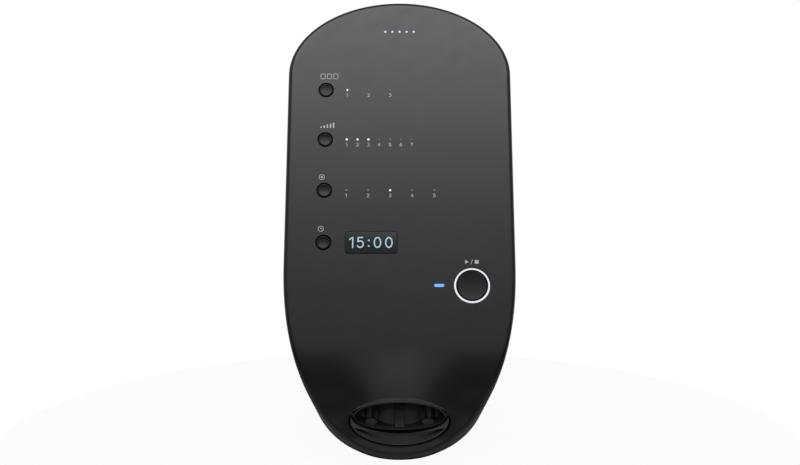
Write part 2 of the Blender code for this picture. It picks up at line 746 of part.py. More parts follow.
def cut(obj, *tools):
    for tool in tools:
        combine(obj, tool, "DIFFERENCE")
    return obj


def join(obj, *tools):
    for tool in tools:
        combine(obj, tool, "UNION")
    return obj


def tube(name, points, radius, parent=None, finish_values=None):
    """A hose along a smooth line through the points, in triangles, square to the line at each point."""
    mesh_bm = bmesh.new()
    side = Vector((1, 0, 0)) if abs((points[1] - points[0]).normalized().x) < HOSE_LEVEL_SHARE else Vector((0, 1, 0))
    rings = []
    for index, point in enumerate(points):
        before = points[max(index - 1, 0)]
        after = points[min(index + 1, len(points) - 1)]
        way = ((point - before).normalized() + (after - point).normalized()).normalized()
        side = (side - way * side.dot(way)).normalized()
        other = way.cross(side)
        ring = []
        for step in range(HOSE_SIDES):
            angle = math.radians(360) * step / HOSE_SIDES
            ring.append(mesh_bm.verts.new(point + (side * math.cos(angle) + other * math.sin(angle)) * radius))
        rings.append(ring)
    for lower, upper in zip(rings, rings[1:]):
        for step in range(HOSE_SIDES):
            after = (step + 1) % HOSE_SIDES
            mesh_bm.faces.new((lower[step], lower[after], upper[after], upper[step]))
    mesh_bm.faces.new(rings[0])
    mesh_bm.faces.new(rings[-1])
    bmesh.ops.triangulate(mesh_bm, faces=mesh_bm.faces)
    bmesh.ops.recalc_face_normals(mesh_bm, faces=mesh_bm.faces)
    return object_from(name, mesh_bm, parent, finish_values)


def hose_path(start, start_way, end, end_way, reach):
    """A smooth line with short straight ends, which leaves start along start_way and end along end_way."""
    start_way, end_way = Vector(start_way).normalized(), Vector(end_way).normalized()
    start_lead, end_lead = Vector(start) + start_way * HOSE_LEAD, Vector(end) + end_way * HOSE_LEAD
    first, last = start_lead + start_way * reach, end_lead + end_way * reach
    path = [Vector(start)]
    for step in range(HOSE_STEPS + 1):
        t = step / HOSE_STEPS
        a = start_lead.lerp(first, t)
        b = first.lerp(last, t)
        c = last.lerp(end_lead, t)
        path.append(a.lerp(b, t).lerp(b.lerp(c, t), t))
    path.append(Vector(end))
    return path


COVER_INSIDE = -WALL
BOARD_FRONT = -BOARD_DEPTH
BOARD_BACK = BOARD_FRONT - BOARD_THICKNESS
SWITCH_TOP = BOARD_FRONT + SWITCH_HEIGHT
STEM_END = SWITCH_TOP - STEM_SEAT
BUTTON_PLACES = [
    (name, BUTTON_COLUMN, BUTTON_LOWEST + index * BUTTON_PITCH) for index, name in enumerate(BUTTON_NAMES)
]


def oval_rod(name, low, high, half_width, half_height, parent=None, finish_values=None, steps=40):
    ratio = half_height / half_width
    return rod(name, (0, 0, low), high - low, half_width, parent, finish_values, steps, ratio=ratio)


def pegs(name, places, low, high, radius, parent, steps=TINY_ROUND_STEPS):
    """Like cylinders side by side in one mesh, between two levels of their parent's frame."""
    mesh_bm = bmesh.new()
    for across, up in places:
        bmesh.ops.create_cone(
            mesh_bm,
            cap_ends=True,
            segments=steps,
            radius1=radius,
            radius2=radius,
            depth=high - low,
            matrix=Matrix.Translation((across, up, (low + high) / 2)),
        )
    return object_from(name, mesh_bm, parent)


def make_front_cover():
    mesh = shell_from_rows("front_cover", COVER_LINES, -1)
    shade(mesh)
    cover = finish(place(bpy.data.objects.new("front_cover", mesh), FACE_EMPTY), COVER_BLACK)
    solid = cover.modifiers.new("wall", "SOLIDIFY")
    solid.thickness = WALL
    solid.offset = -1
    solid.use_even_offset = True

    boss_end = BOARD_FRONT + GAP
    bosses = pegs(
        "board_bosses", BOARD_SCREW_PLACES, boss_end, -WALL / 2, BOSS_RADIUS, FACE_EMPTY, SMALL_ROUND_STEPS
    )
    join(cover, bosses)
    hole_depth = boss_end + SCREW_LENGTH - BOARD_THICKNESS
    hole_radius = SCREW_RADIUS + SCREW_CLEARANCE
    cut(cover, pegs("boss_holes", BOARD_SCREW_PLACES, boss_end - OVERRUN, hole_depth, hole_radius, FACE_EMPTY))
    hook_face = HALF_WIDTH - WALL - GAP
    for side in (-1, 1):
        for index, up in enumerate(HOOK_HEIGHTS):
            faces = sorted((side * hook_face, side * (hook_face - HOOK_THICKNESS)))
            low = (faces[0], up - HOOK_WIDTH / 2, -COVER_SKIRT - HOOK_LENGTH)
            high = (faces[1], up + HOOK_WIDTH / 2, -WALL / 2)
            join(cover, box(f"hook_{side}_{index}", low, high, FACE_EMPTY))

    low, high = COVER_INSIDE - OVERRUN, OVERRUN
    places = [(across, up) for _, across, up in BUTTON_PLACES]
    cut(cover, pegs("button_holes", places, low, high, BUTTON_RADIUS + BUTTON_GROOVE, FACE_EMPTY, ROUND_STEPS))
    start_place = [(START_ACROSS, START_UP)]
    cut(cover, pegs("ring_hole", start_place, low, high, RING_RADIUS + GAP, FACE_EMPTY, RING_STEPS))
    window_hole = rounded_rectangle(
        DISPLAY_ACROSS, DISPLAY_UP, WINDOW_WIDTH + 2 * GAP, WINDOW_HEIGHT + 2 * GAP, WINDOW_CORNER + GAP
    )
    cut(cover, flat("window_hole", window_hole, low, high, FACE_EMPTY))
    status_hole = rounded_rectangle(
        STATUS_ACROSS, START_UP, STATUS_WIDTH + 2 * FINE_GAP, STATUS_HEIGHT + 2 * FINE_GAP, STATUS_HEIGHT / 4, 1
    )
    cut(cover, flat("status_hole", status_hole, low, high, FACE_EMPTY))
    lights = [place for name in LIGHT_ROWS for place in light_places(name)]
    cut(cover, pegs("light_holes", lights, low, high, LIGHT_RADIUS + FINE_GAP, FACE_EMPTY))

    reach = SOCKET_DEPTH + CHIN_SETBACK
    cut(cover, port_oval("port_bore", -reach, reach, 0 * MM))
    lip_half_width = BORE_HALF_WIDTH + PORT_LIP_SIDE_WALL
    lip_half_height = BORE_HALF_HEIGHT + 2 * PORT_LIP_WALL
    lip_front = oval_rod("port_lip_front", 0, reach, lip_half_width, lip_half_height, PORT_EMPTY)
    cut(lip_front, box("port_lip_below", (-reach, -2 * reach, -OVERRUN), (reach, 0, reach + OVERRUN), PORT_EMPTY))
    cut(cover, lip_front)
    return cover


def light_places(name):
    first, up, pitch = LIGHT_ROWS[name]
    return [(first + index * pitch, up) for index in range(LIGHT_COUNTS[name])]


def make_rear_housing():
    mesh = shell_from_rows("rear_housing", [rear_line(row) for row in ROWS], 1)
    shade(mesh)
    housing = finish(place(bpy.data.objects.new("rear_housing", mesh), FACE_EMPTY), HOUSING_BLACK)
    solid = housing.modifiers.new("wall", "SOLIDIFY")
    solid.thickness = WALL
    solid.offset = -1
    solid.use_even_offset = True

    post_top = CHASSIS_HEIGHT - GAP
    for index, (across, along) in enumerate(CHASSIS_SCREW_PLACES):
        start = (across, along, UNDERSIDE_HEIGHT + WALL / 2)
        join(housing, rod(f"chassis_post_{index}", start, post_top - start[2], POST_RADIUS, steps=SMALL_ROUND_STEPS))
        start = (across, along, UNDERSIDE_HEIGHT + WALL)
        hole_radius = SCREW_RADIUS + SCREW_CLEARANCE
        cut(housing, rod(f"post_hole_{index}", start, CHASSIS_HEIGHT - start[2], hole_radius, steps=TINY_ROUND_STEPS))

    shelf_top = PACK_CENTRE_UP - PACK_HEIGHT / 2 - GAP
    shelf_bottom = PACK_CENTRE_UP - DOOR_HEIGHT / 2 - GAP - SHELF_THICKNESS
    shelf_low = (-PACK_HALF_WIDTH, shelf_bottom, -WALL - GAP - CELL_DIAMETER)
    shelf_high = (PACK_HALF_WIDTH, shelf_top, -WALL / 2)
    join(housing, box("battery_shelf", shelf_low, shelf_high, BACK_EMPTY))
    door_hole = rounded_rectangle(0, PACK_CENTRE_UP, DOOR_WIDTH + 2 * GAP, DOOR_HEIGHT + 2 * GAP, DOOR_RIM)
    cut(housing, flat("door_hole", door_hole, -WALL - OVERRUN, OVERRUN, BACK_EMPTY))
    inlet_place = [(INLET_ACROSS, SERVICE_UP)]
    button_place = [(POWER_BUTTON_ACROSS, SERVICE_UP)]
    low, high = -WALL - OVERRUN, OVERRUN
    cut(housing, pegs("inlet_hole", inlet_place, low, high, INLET_NOSE_RADIUS + GAP, BACK_EMPTY, ROUND_STEPS))
    cut(housing, pegs("power_hole", button_place, low, high, POWER_BUTTON_RADIUS + GAP, BACK_EMPTY, ROUND_STEPS))
    return housing


def make_feet():
    profile = (
        (0, FOOT_HEIGHT),
        (FOOT_RADIUS, FOOT_HEIGHT),
        (FOOT_RADIUS, FOOT_BEVEL),
        (FOOT_RADIUS - FOOT_BEVEL, 0),
        (0, 0),
    )
    places = [(side * FRONT_FOOT_ACROSS, FRONT_FOOT_ALONG) for side in (-1, 1)]
    places += [(side * REAR_FOOT_ACROSS, REAR_FOOT_ALONG) for side in (-1, 1)]
    for name, (across, along) in zip(FOOT_NAMES, places):
        turned(name, profile, (across, along, 0), finish_values=FOOT_RUBBER, steps=SMALL_ROUND_STEPS)


def make_small_buttons():
    """A dished top in a rim, flange behind the cover and a stem that reaches into its switch."""
    flange_top = COVER_INSIDE - GAP
    profile = (
        (0, -BUTTON_DISH_DEPTH),
        (BUTTON_RADIUS * DISH_FLOOR_SHARE, -BUTTON_DISH_DEPTH * (1 - DISH_FLOOR_SHARE**2)),
        (BUTTON_RADIUS * DISH_RIM_SHARE, 0),
        (BUTTON_RADIUS, -FINE_GAP),
        (BUTTON_RADIUS, flange_top),
        (BUTTON_FLANGE_RADIUS, flange_top),
        (BUTTON_FLANGE_RADIUS, flange_top - BUTTON_FLANGE),
        (STEM_RADIUS, flange_top - BUTTON_FLANGE),
        (STEM_RADIUS, STEM_END),
        (0, STEM_END),
    )
    for name, across, up in BUTTON_PLACES:
        turned(name, profile, (across, up, 0), FACE_EMPTY, BUTTON_BLACK, BUTTON_STEPS)


def make_start_button():
    """The start button moves inside its light ring, which is held behind the cover by a flange of its own."""
    place_on_face = (START_ACROSS, START_UP, 0)
    inner = RING_RADIUS - RING_WIDTH
    flange_top = COVER_INSIDE - GAP
    ring_back = flange_top - BUTTON_FLANGE
    ring = (
        (inner, -LIGHT_SINK),
        (RING_RADIUS, -LIGHT_SINK),
        (RING_RADIUS, flange_top),
        (RING_FLANGE_RADIUS, flange_top),
        (RING_FLANGE_RADIUS, ring_back),
        (inner, ring_back),
        (inner, -LIGHT_SINK),
    )
    turned("start_ring_lens", ring, place_on_face, FACE_EMPTY, RING_WHITE, RING_STEPS)
    radius = inner - GAP
    button_flange = ring_back - GAP
    button = (
        (0, -START_DISH_DEPTH),
        (radius * DISH_FLOOR_SHARE, -START_DISH_DEPTH * (1 - DISH_FLOOR_SHARE**2)),
        (radius * DISH_RIM_SHARE, -LIGHT_SINK),
        (radius, -LIGHT_SINK - FINE_GAP),
        (radius, button_flange),
        (START_FLANGE_RADIUS, button_flange),
        (START_FLANGE_RADIUS, button_flange - BUTTON_FLANGE),
        (STEM_RADIUS, button_flange - BUTTON_FLANGE),
        (STEM_RADIUS, STEM_END),
        (0, STEM_END),
    )
    turned("start_stop_button", button, place_on_face, FACE_EMPTY, BUTTON_BLACK, RING_STEPS)


def make_display():
    outline = rounded_rectangle(DISPLAY_ACROSS, DISPLAY_UP, WINDOW_WIDTH, WINDOW_HEIGHT, WINDOW_CORNER)
    flange_top = COVER_INSIDE - GAP
    flange_back = flange_top - WINDOW_FLANGE_THICKNESS
    window = flat("display_window", outline, flange_back + GAP, -WINDOW_SINK, FACE_EMPTY, WINDOW_GREY)
    flange = rounded_rectangle(
        DISPLAY_ACROSS, DISPLAY_UP, WINDOW_WIDTH + 2 * WINDOW_FLANGE, WINDOW_HEIGHT + 2 * WINDOW_FLANGE, WINDOW_CORNER
    )
    join(window, flat("window_flange", flange, flange_back, flange_top, FACE_EMPTY))
    half = Vector((WINDOW_WIDTH, WINDOW_HEIGHT)) / 2 + Vector((DISPLAY_MARGIN, DISPLAY_MARGIN))
    low = (DISPLAY_ACROSS - half.x, DISPLAY_UP - half.y, BOARD_FRONT + GAP)
    high = (DISPLAY_ACROSS + half.x, DISPLAY_UP + half.y, flange_back - GAP)
    box("display_module", low, high, FACE_EMPTY, DISPLAY_BLACK)


def light_comb(name, places, bar_end):
    """A clear bar behind the cover with a peg to each light hole and a leg to the board at each end."""
    bar_top = COVER_INSIDE - GAP
    bar_back = bar_top - LIGHT_BAR_THICKNESS
    up = places[0][1]
    low = (places[0][0] - bar_end, up - LIGHT_BAR_HEIGHT / 2, bar_back)
    high = (places[-1][0] + bar_end, up + LIGHT_BAR_HEIGHT / 2, bar_top)
    comb = box(name, low, high, FACE_EMPTY, LIGHT_BLUE)
    for side, edge in (("left", low[0]), ("right", high[0] - LIGHT_LEG_WIDTH)):
        leg_low = (edge, up - LIGHT_LEG_WIDTH / 2, BOARD_FRONT + GAP)
        leg_high = (edge + LIGHT_LEG_WIDTH, up + LIGHT_LEG_WIDTH / 2, bar_back + FINE_GAP)
        join(comb, box(f"{name}_{side}_leg", leg_low, leg_high, FACE_EMPTY))
    return comb, bar_top


def make_light_pipes():
    for name in LIGHT_ROWS:
        comb, bar_top = light_comb(name, light_places(name), LIGHT_BAR_HEIGHT)
        pins = pegs(name + "_pegs", light_places(name), bar_top - FINE_GAP, -LIGHT_SINK, LIGHT_RADIUS, FACE_EMPTY)
        join(comb, pins)
    comb, bar_top = light_comb("status_light_pipe", [(STATUS_ACROSS, START_UP)], STATUS_BAR_END)
    outline = rounded_rectangle(STATUS_ACROSS, START_UP, STATUS_WIDTH, STATUS_HEIGHT, STATUS_HEIGHT / 4, 1)
    join(comb, flat("status_light_face", outline, bar_top - FINE_GAP, -LIGHT_SINK, FACE_EMPTY))


def make_control_board():
    outline = [
        (-BOARD_HALF_WIDTH, BOARD_BOTTOM),
        (BOARD_HALF_WIDTH, BOARD_BOTTOM),
        (BOARD_HALF_WIDTH, BOARD_SHOULDER),
        (BOARD_TONGUE_HALF_WIDTH, BOARD_TOP),
        (-BOARD_TONGUE_HALF_WIDTH, BOARD_TOP),
        (-BOARD_HALF_WIDTH, BOARD_SHOULDER),
    ]
    board = flat("control_board", outline, BOARD_BACK, BOARD_FRONT, FACE_EMPTY, BOARD_GREEN)
    hole_radius = SCREW_RADIUS + SCREW_CLEARANCE
    low, high = BOARD_BACK - OVERRUN, BOARD_FRONT + OVERRUN
    cut(board, pegs("board_holes", BOARD_SCREW_PLACES, low, high, hole_radius, FACE_EMPTY))
    for index, (across, up, width, height, thickness) in enumerate(BOARD_PARTS):
        low = (across - width / 2, up - height / 2, BOARD_BACK - thickness)
        high = (across + width / 2, up + height / 2, BOARD_BACK + FINE_GAP)
        join(board, box(f"board_part_{index}", low, high, FACE_EMPTY))
    switches = [(across, up) for _, across, up in BUTTON_PLACES] + [(START_ACROSS, START_UP)]
    for index, (across, up) in enumerate(switches):
        low = (across - SWITCH_SIZE / 2, up - SWITCH_SIZE / 2, BOARD_FRONT - FINE_GAP)
        high = (across + SWITCH_SIZE / 2, up + SWITCH_SIZE / 2, SWITCH_TOP)
        join(board, box(f"switch_{index}", low, high, FACE_EMPTY))
    hole_low = SWITCH_TOP - STEM_HOLE_DEPTH
    cut(board, pegs("switch_holes", switches, hole_low, SWITCH_TOP + OVERRUN, STEM_HOLE_RADIUS, FACE_EMPTY))


def screw_profile(length):
    """A pan head screw whose head rests on level 0 and whose shank runs down."""
    return (
        (0, SCREW_HEAD),
        (SCREW_HEAD_RADIUS - SCREW_HEAD / 2, SCREW_HEAD),
        (SCREW_HEAD_RADIUS, SCREW_HEAD / 2),
        (SCREW_HEAD_RADIUS, 0),
        (SCREW_RADIUS, 0),
        (SCREW_RADIUS, -length),
        (0, -length),
    )


def make_board_screws():
    turn = Matrix.Rotation(math.radians(180), 4, "X")
    length = SCREW_LENGTH - GAP
    for index, (across, up) in enumerate(BOARD_SCREW_PLACES):
        start = (across, up, BOARD_BACK - GAP)
        name = f"board_screw_{index + 1}"
        turned(name, screw_profile(length), start, FACE_EMPTY, STEEL, TINY_ROUND_STEPS, turn)


def make_chassis():
    low = (-CHASSIS_HALF_WIDTH, CHASSIS_FRONT, CHASSIS_HEIGHT)
    high = (CHASSIS_HALF_WIDTH, CHASSIS_BACK, CHASSIS_TOP)
    chassis = box("chassis", low, high, finish_values=CHASSIS_GREY)
    low, high = CHASSIS_HEIGHT - OVERRUN, CHASSIS_TOP + OVERRUN
    hole_radius = SCREW_RADIUS + SCREW_CLEARANCE
    cut(chassis, pegs("chassis_holes", CHASSIS_SCREW_PLACES, low, high, hole_radius, None))
    for side in (-1, 1):
        centre = side * (MANIFOLD_HALF_WIDTH - MANIFOLD_POST_WIDTH)
        low = (centre - MANIFOLD_POST_WIDTH / 2, MANIFOLD_ALONG - MANIFOLD_POST_WIDTH / 2, CHASSIS_TOP - FINE_GAP)
        high = (centre + MANIFOLD_POST_WIDTH / 2, MANIFOLD_ALONG + MANIFOLD_POST_WIDTH / 2, MANIFOLD_BASE - GAP)
        join(chassis, box(f"manifold_post_{side}", low, high))


def make_chassis_screws():
    for index, (across, along) in enumerate(CHASSIS_SCREW_PLACES):
        start = (across, along, CHASSIS_TOP + GAP)
        profile = screw_profile(SCREW_LENGTH)
        turned(f"chassis_screw_{index + 1}", profile, start, None, STEEL, TINY_ROUND_STEPS)


def make_pump_mounts():
    """Two rubber strips between the chassis and the pump."""
    for name, side in (("pump_mount_front", -1), ("pump_mount_back", 1)):
        along = PUMP_ALONG + side * MOUNT_OFFSET
        low = (MOUNT_LEFT, along - MOUNT_RADIUS / 2, CHASSIS_TOP + GAP)
        high = (MOUNT_RIGHT, along + MOUNT_RADIUS / 2, PUMP_BASE - GAP)
        box(name, low, high, finish_values=MOUNT_RUBBER)


def make_pump():
    low = (CRANKCASE_LEFT, PUMP_ALONG - CRANKCASE_DEPTH / 2, PUMP_BASE)
    high = (CRANKCASE_RIGHT, PUMP_ALONG + CRANKCASE_DEPTH / 2, CRANKCASE_TOP)
    case = box("pump_crankcase", low, high, finish_values=PUMP_IVORY)
    inset = Vector((CRANKCASE_WALL, CRANKCASE_WALL, CRANKCASE_WALL))
    cavity_high = Vector(high) - inset
    cavity_high.z = CRANKCASE_TOP + OVERRUN
    cut(case, box("crankcase_cavity", Vector(low) + inset, cavity_high))
    sideways = Matrix.Rotation(math.radians(90), 4, "Y")
    start = (CRANKCASE_LEFT - OVERRUN, PUMP_ALONG, SHAFT_HEIGHT)
    length = CRANKCASE_WALL + 2 * OVERRUN
    shaft_hole = rod("crankcase_shaft_hole", start, length, SHAFT_RADIUS + GAP, steps=SMALL_ROUND_STEPS, turn=sideways)
    cut(case, shaft_hole)

    start = (CRANKCASE_LEFT - GAP - MOTOR_LENGTH, PUMP_ALONG, SHAFT_HEIGHT)
    motor = rod("pump_motor", start, MOTOR_LENGTH, MOTOR_RADIUS, finish_values=STEEL, turn=sideways)
    start = (CRANKCASE_LEFT - GAP - SHAFT_SEAT, PUMP_ALONG, SHAFT_HEIGHT)
    length = SHAFT_SEAT + OVERRUN
    hole = rod("motor_hole", start, length, SHAFT_RADIUS + GAP, steps=SMALL_ROUND_STEPS, turn=sideways)
    cut(motor, hole)

    shaft_left = CRANKCASE_LEFT - GAP - SHAFT_SEAT + GAP
    shaft_right = CRANKCASE_RIGHT - CRANKCASE_WALL - SHAFT_END_PLAY
    start = (shaft_left, PUMP_ALONG, SHAFT_HEIGHT)
    shaft = rod(
        "pump_shaft", start, shaft_right - shaft_left, SHAFT_RADIUS, None, STEEL, SMALL_ROUND_STEPS, sideways
    )
    start = (PUMP_CENTRE - ECCENTRIC_LENGTH / 2, PUMP_ALONG, SHAFT_HEIGHT + ECCENTRIC_OFFSET)
    join(shaft, rod("eccentric", start, ECCENTRIC_LENGTH, ECCENTRIC_RADIUS, turn=sideways))

    ring_inner = ECCENTRIC_RADIUS + ECCENTRIC_OFFSET + ROD_STROKE + GAP
    ring_outer = ring_inner + ROD_RING_WALL
    start = (PUMP_CENTRE - ROD_RING_LENGTH / 2, PUMP_ALONG, SHAFT_HEIGHT)
    ring = rod("pump_rod", start, ROD_RING_LENGTH, ring_outer, None, PUMP_IVORY, turn=sideways)
    start = (PUMP_CENTRE, PUMP_ALONG, SHAFT_HEIGHT)
    stem_top = PLATE_BASE + FINE_GAP
    join(ring, rod("rod_stem", start, stem_top - SHAFT_HEIGHT, ROD_RADIUS, steps=SMALL_ROUND_STEPS))
    start = (PUMP_CENTRE, PUMP_ALONG, PLATE_BASE)
    join(ring, rod("rod_plate", start, PLATE_THICKNESS, PLATE_RADIUS))
    start = (PUMP_CENTRE - ROD_RING_LENGTH / 2 - OVERRUN, PUMP_ALONG, SHAFT_HEIGHT)
    cut(ring, rod("rod_eye", start, ROD_RING_LENGTH + 2 * OVERRUN, ring_inner, turn=sideways))

    inner, outer = ROD_RADIUS + GAP, CRANKCASE_WIDTH / 2 - GAP
    low, high = CRANKCASE_TOP + GAP, CRANKCASE_TOP + GAP + DIAPHRAGM_THICKNESS
    profile = ((inner, high), (outer, high), (outer, low), (inner, low), (inner, high))
    turned("pump_diaphragm", profile, (PUMP_CENTRE, PUMP_ALONG, 0), None, MOUNT_RUBBER)

    low = (CRANKCASE_LEFT, PUMP_ALONG - CRANKCASE_DEPTH / 2, HEAD_BASE)
    high = (CRANKCASE_RIGHT, PUMP_ALONG + CRANKCASE_DEPTH / 2, HEAD_TOP)
    head = box("pump_head", low, high, finish_values=PUMP_IVORY)
    start = (PUMP_CENTRE, PUMP_ALONG, HEAD_BASE - OVERRUN)
    chamber = rod("head_chamber", start, HEAD_HEIGHT - HEAD_ROOF + OVERRUN, PLATE_RADIUS + 2 * GAP)
    cut(head, chamber)
    start = (PUMP_CENTRE + HEAD_NIPPLE_OFFSET, PUMP_ALONG, HEAD_TOP - FINE_GAP)
    join(head, rod("head_nipple", start, NIPPLE_LENGTH, NIPPLE_RADIUS, steps=SMALL_ROUND_STEPS))


def make_valves():
    low = (-MANIFOLD_HALF_WIDTH, MANIFOLD_ALONG - MANIFOLD_DEPTH / 2, MANIFOLD_BASE)
    high = (MANIFOLD_HALF_WIDTH, MANIFOLD_ALONG + MANIFOLD_DEPTH / 2, MANIFOLD_TOP)
    manifold = box("valve_manifold", low, high, finish_values=PUMP_IVORY)
    forward = Matrix.Rotation(math.radians(90), 4, "X")
    for index, across in enumerate(VALVE_PLACES):
        start = (across, low[1] + FINE_GAP, MANIFOLD_MIDDLE)
        nipple = rod(f"outlet_{index}", start, NIPPLE_LENGTH, NIPPLE_RADIUS, steps=TINY_ROUND_STEPS, turn=forward)
        join(manifold, nipple)
    sideways = Matrix.Rotation(math.radians(90), 4, "Y")
    start = (MANIFOLD_HALF_WIDTH - FINE_GAP, MANIFOLD_ALONG, MANIFOLD_MIDDLE)
    join(manifold, rod("inlet_nipple", start, NIPPLE_LENGTH, NIPPLE_RADIUS, steps=TINY_ROUND_STEPS, turn=sideways))

    base = MANIFOLD_TOP + GAP
    top = base + VALVE_HEIGHT
    bore = PLUNGER_RADIUS + GAP
    floor = top + PLUNGER_PROUD - PLUNGER_LENGTH - GAP
    body = ((0, floor), (bore, floor), (bore, top), (VALVE_RADIUS, top), (VALVE_RADIUS, base), (0, base))
    for index, across in enumerate(VALVE_PLACES):
        place_on_manifold = (across, MANIFOLD_ALONG, 0)
        turned(f"solenoid_valve_{index + 1}", body, place_on_manifold, None, STEEL, SMALL_ROUND_STEPS)
        start = (across, MANIFOLD_ALONG, floor + GAP)
        name = f"valve_plunger_{index + 1}"
        rod(name, start, PLUNGER_LENGTH, PLUNGER_RADIUS, None, STEEL, SMALL_ROUND_STEPS)


def port_ring(inset):
    """The port's oval in its own plane, flatter below its middle than above it."""
    points = []
    for step in range(BORE_STEPS):
        angle = math.radians(360) * step / BORE_STEPS
        height = (BORE_HALF_HEIGHT if math.sin(angle) > 0 else BORE_LOWER_HEIGHT) - inset
        points.append(((BORE_HALF_WIDTH - inset) * math.cos(angle), height * math.sin(angle)))
    return points


def port_oval(name, low, high, inset, finish_values=None):
    return flat(name, port_ring(inset), low, high, PORT_EMPTY, finish_values)


def beyond_rim(name, low_up, behind):
    """Everything in front of a plane behind the socket's tilted rim, above a height of that plane."""
    reach = SOCKET_DEPTH + CHIN_SETBACK
    mesh_bm = bmesh.new()
    bmesh.ops.create_cube(mesh_bm, size=2 * reach)
    bmesh.ops.translate(mesh_bm, verts=mesh_bm.verts, vec=(0, low_up + reach, reach))
    tool = object_from(name, mesh_bm, PORT_EMPTY)
    tool.location = (0, 0, -SOCKET_RIM_BACK - behind)
    tool.rotation_euler = (-SOCKET_RIM_TILT, 0, 0)
    return tool


def at_rim(outline):
    """An outline seen along the port, laid on the socket's tilted rim."""
    return [Vector((across, up, -SOCKET_RIM_BACK - up * math.tan(SOCKET_RIM_TILT))) for across, up in outline]


def between(name, first, last):
    """The solid between two closed rings of equally many points, in the port's frame."""
    mesh_bm = bmesh.new()
    start = [mesh_bm.verts.new(point) for point in first]
    end = [mesh_bm.verts.new(point) for point in last]
    for index in range(len(start)):
        after = (index + 1) % len(start)
        mesh_bm.faces.new((start[index], start[after], end[after], end[index]))
    mesh_bm.faces.new(start)
    mesh_bm.faces.new(end)
    bmesh.ops.recalc_face_normals(mesh_bm, faces=mesh_bm.faces)
    return object_from(name, mesh_bm, PORT_EMPTY)


def socket_way_in(inset):
    """Everything above the slanting way in of the hose, from the lower half of the socket's rim forward."""
    reach = SOCKET_DEPTH + CHIN_SETBACK
    outline = sorted((across, up) for across, up in port_ring(inset) if up < FINE_GAP / 10)
    outline += [(reach, GAP), (reach, reach), (-reach, reach), (-reach, GAP)]
    way = Vector((0, math.sin(SOCKET_MOUTH_RISE), math.cos(SOCKET_MOUTH_RISE)))
    rim = at_rim(outline)
    return between("socket_way_in", [point - way * GAP for point in rim], [point + way * reach for point in rim])


def socket_hollow(inset):
    """The space in the socket behind its rim."""
    ring = port_ring(inset)
    back = -SOCKET_DEPTH - OVERRUN
    return between("socket_hollow", [Vector((across, up, back)) for across, up in ring], at_rim(ring))


def scoop_outline():
    """The crescent below the rim, seen along the port: from its right corner round below, and back above."""
    half_width = BORE_HALF_WIDTH - GAP - SCOOP_WALL
    depth = BORE_LOWER_HEIGHT - GAP - SCOOP_WALL
    first = math.asin(SCOOP_CORNER_DROP / depth)
    points = []
    for step in range(SCOOP_STEPS + 1):
        angle = first + (math.radians(180) - 2 * first) * step / SCOOP_STEPS
        points.append((half_width * math.cos(angle), -depth * math.sin(angle)))
    for step in range(1, SCOOP_STEPS):
        share = 2 * step / SCOOP_STEPS - 1
        drop = SCOOP_MIDDLE_DROP + (SCOOP_CORNER_DROP - SCOOP_MIDDLE_DROP) * share**2
        points.append((half_width * math.cos(first) * share, -drop))
    return points


def make_port_socket():
    """The oval tube in the bore. Its lower half runs on to the chin, with a crescent scoop below the way in."""
    reach = SOCKET_DEPTH + CHIN_SETBACK
    socket = port_oval("port_socket", -SOCKET_DEPTH, reach, GAP, COVER_BLACK)
    chin_level = -CHIN_SETBACK - GAP
    lower_front = box("socket_lower_front", (-reach, -reach, chin_level), (reach, FACE_HEIGHT, reach), FACE_EMPTY)
    cut(socket, lower_front)
    cut(socket, socket_way_in(GAP + SOCKET_WALL))
    cut(socket, flat("socket_scoop", scoop_outline(), -SOCKET_RIM_BACK, reach + OVERRUN, PORT_EMPTY))
    cut(socket, socket_hollow(GAP + SOCKET_WALL))


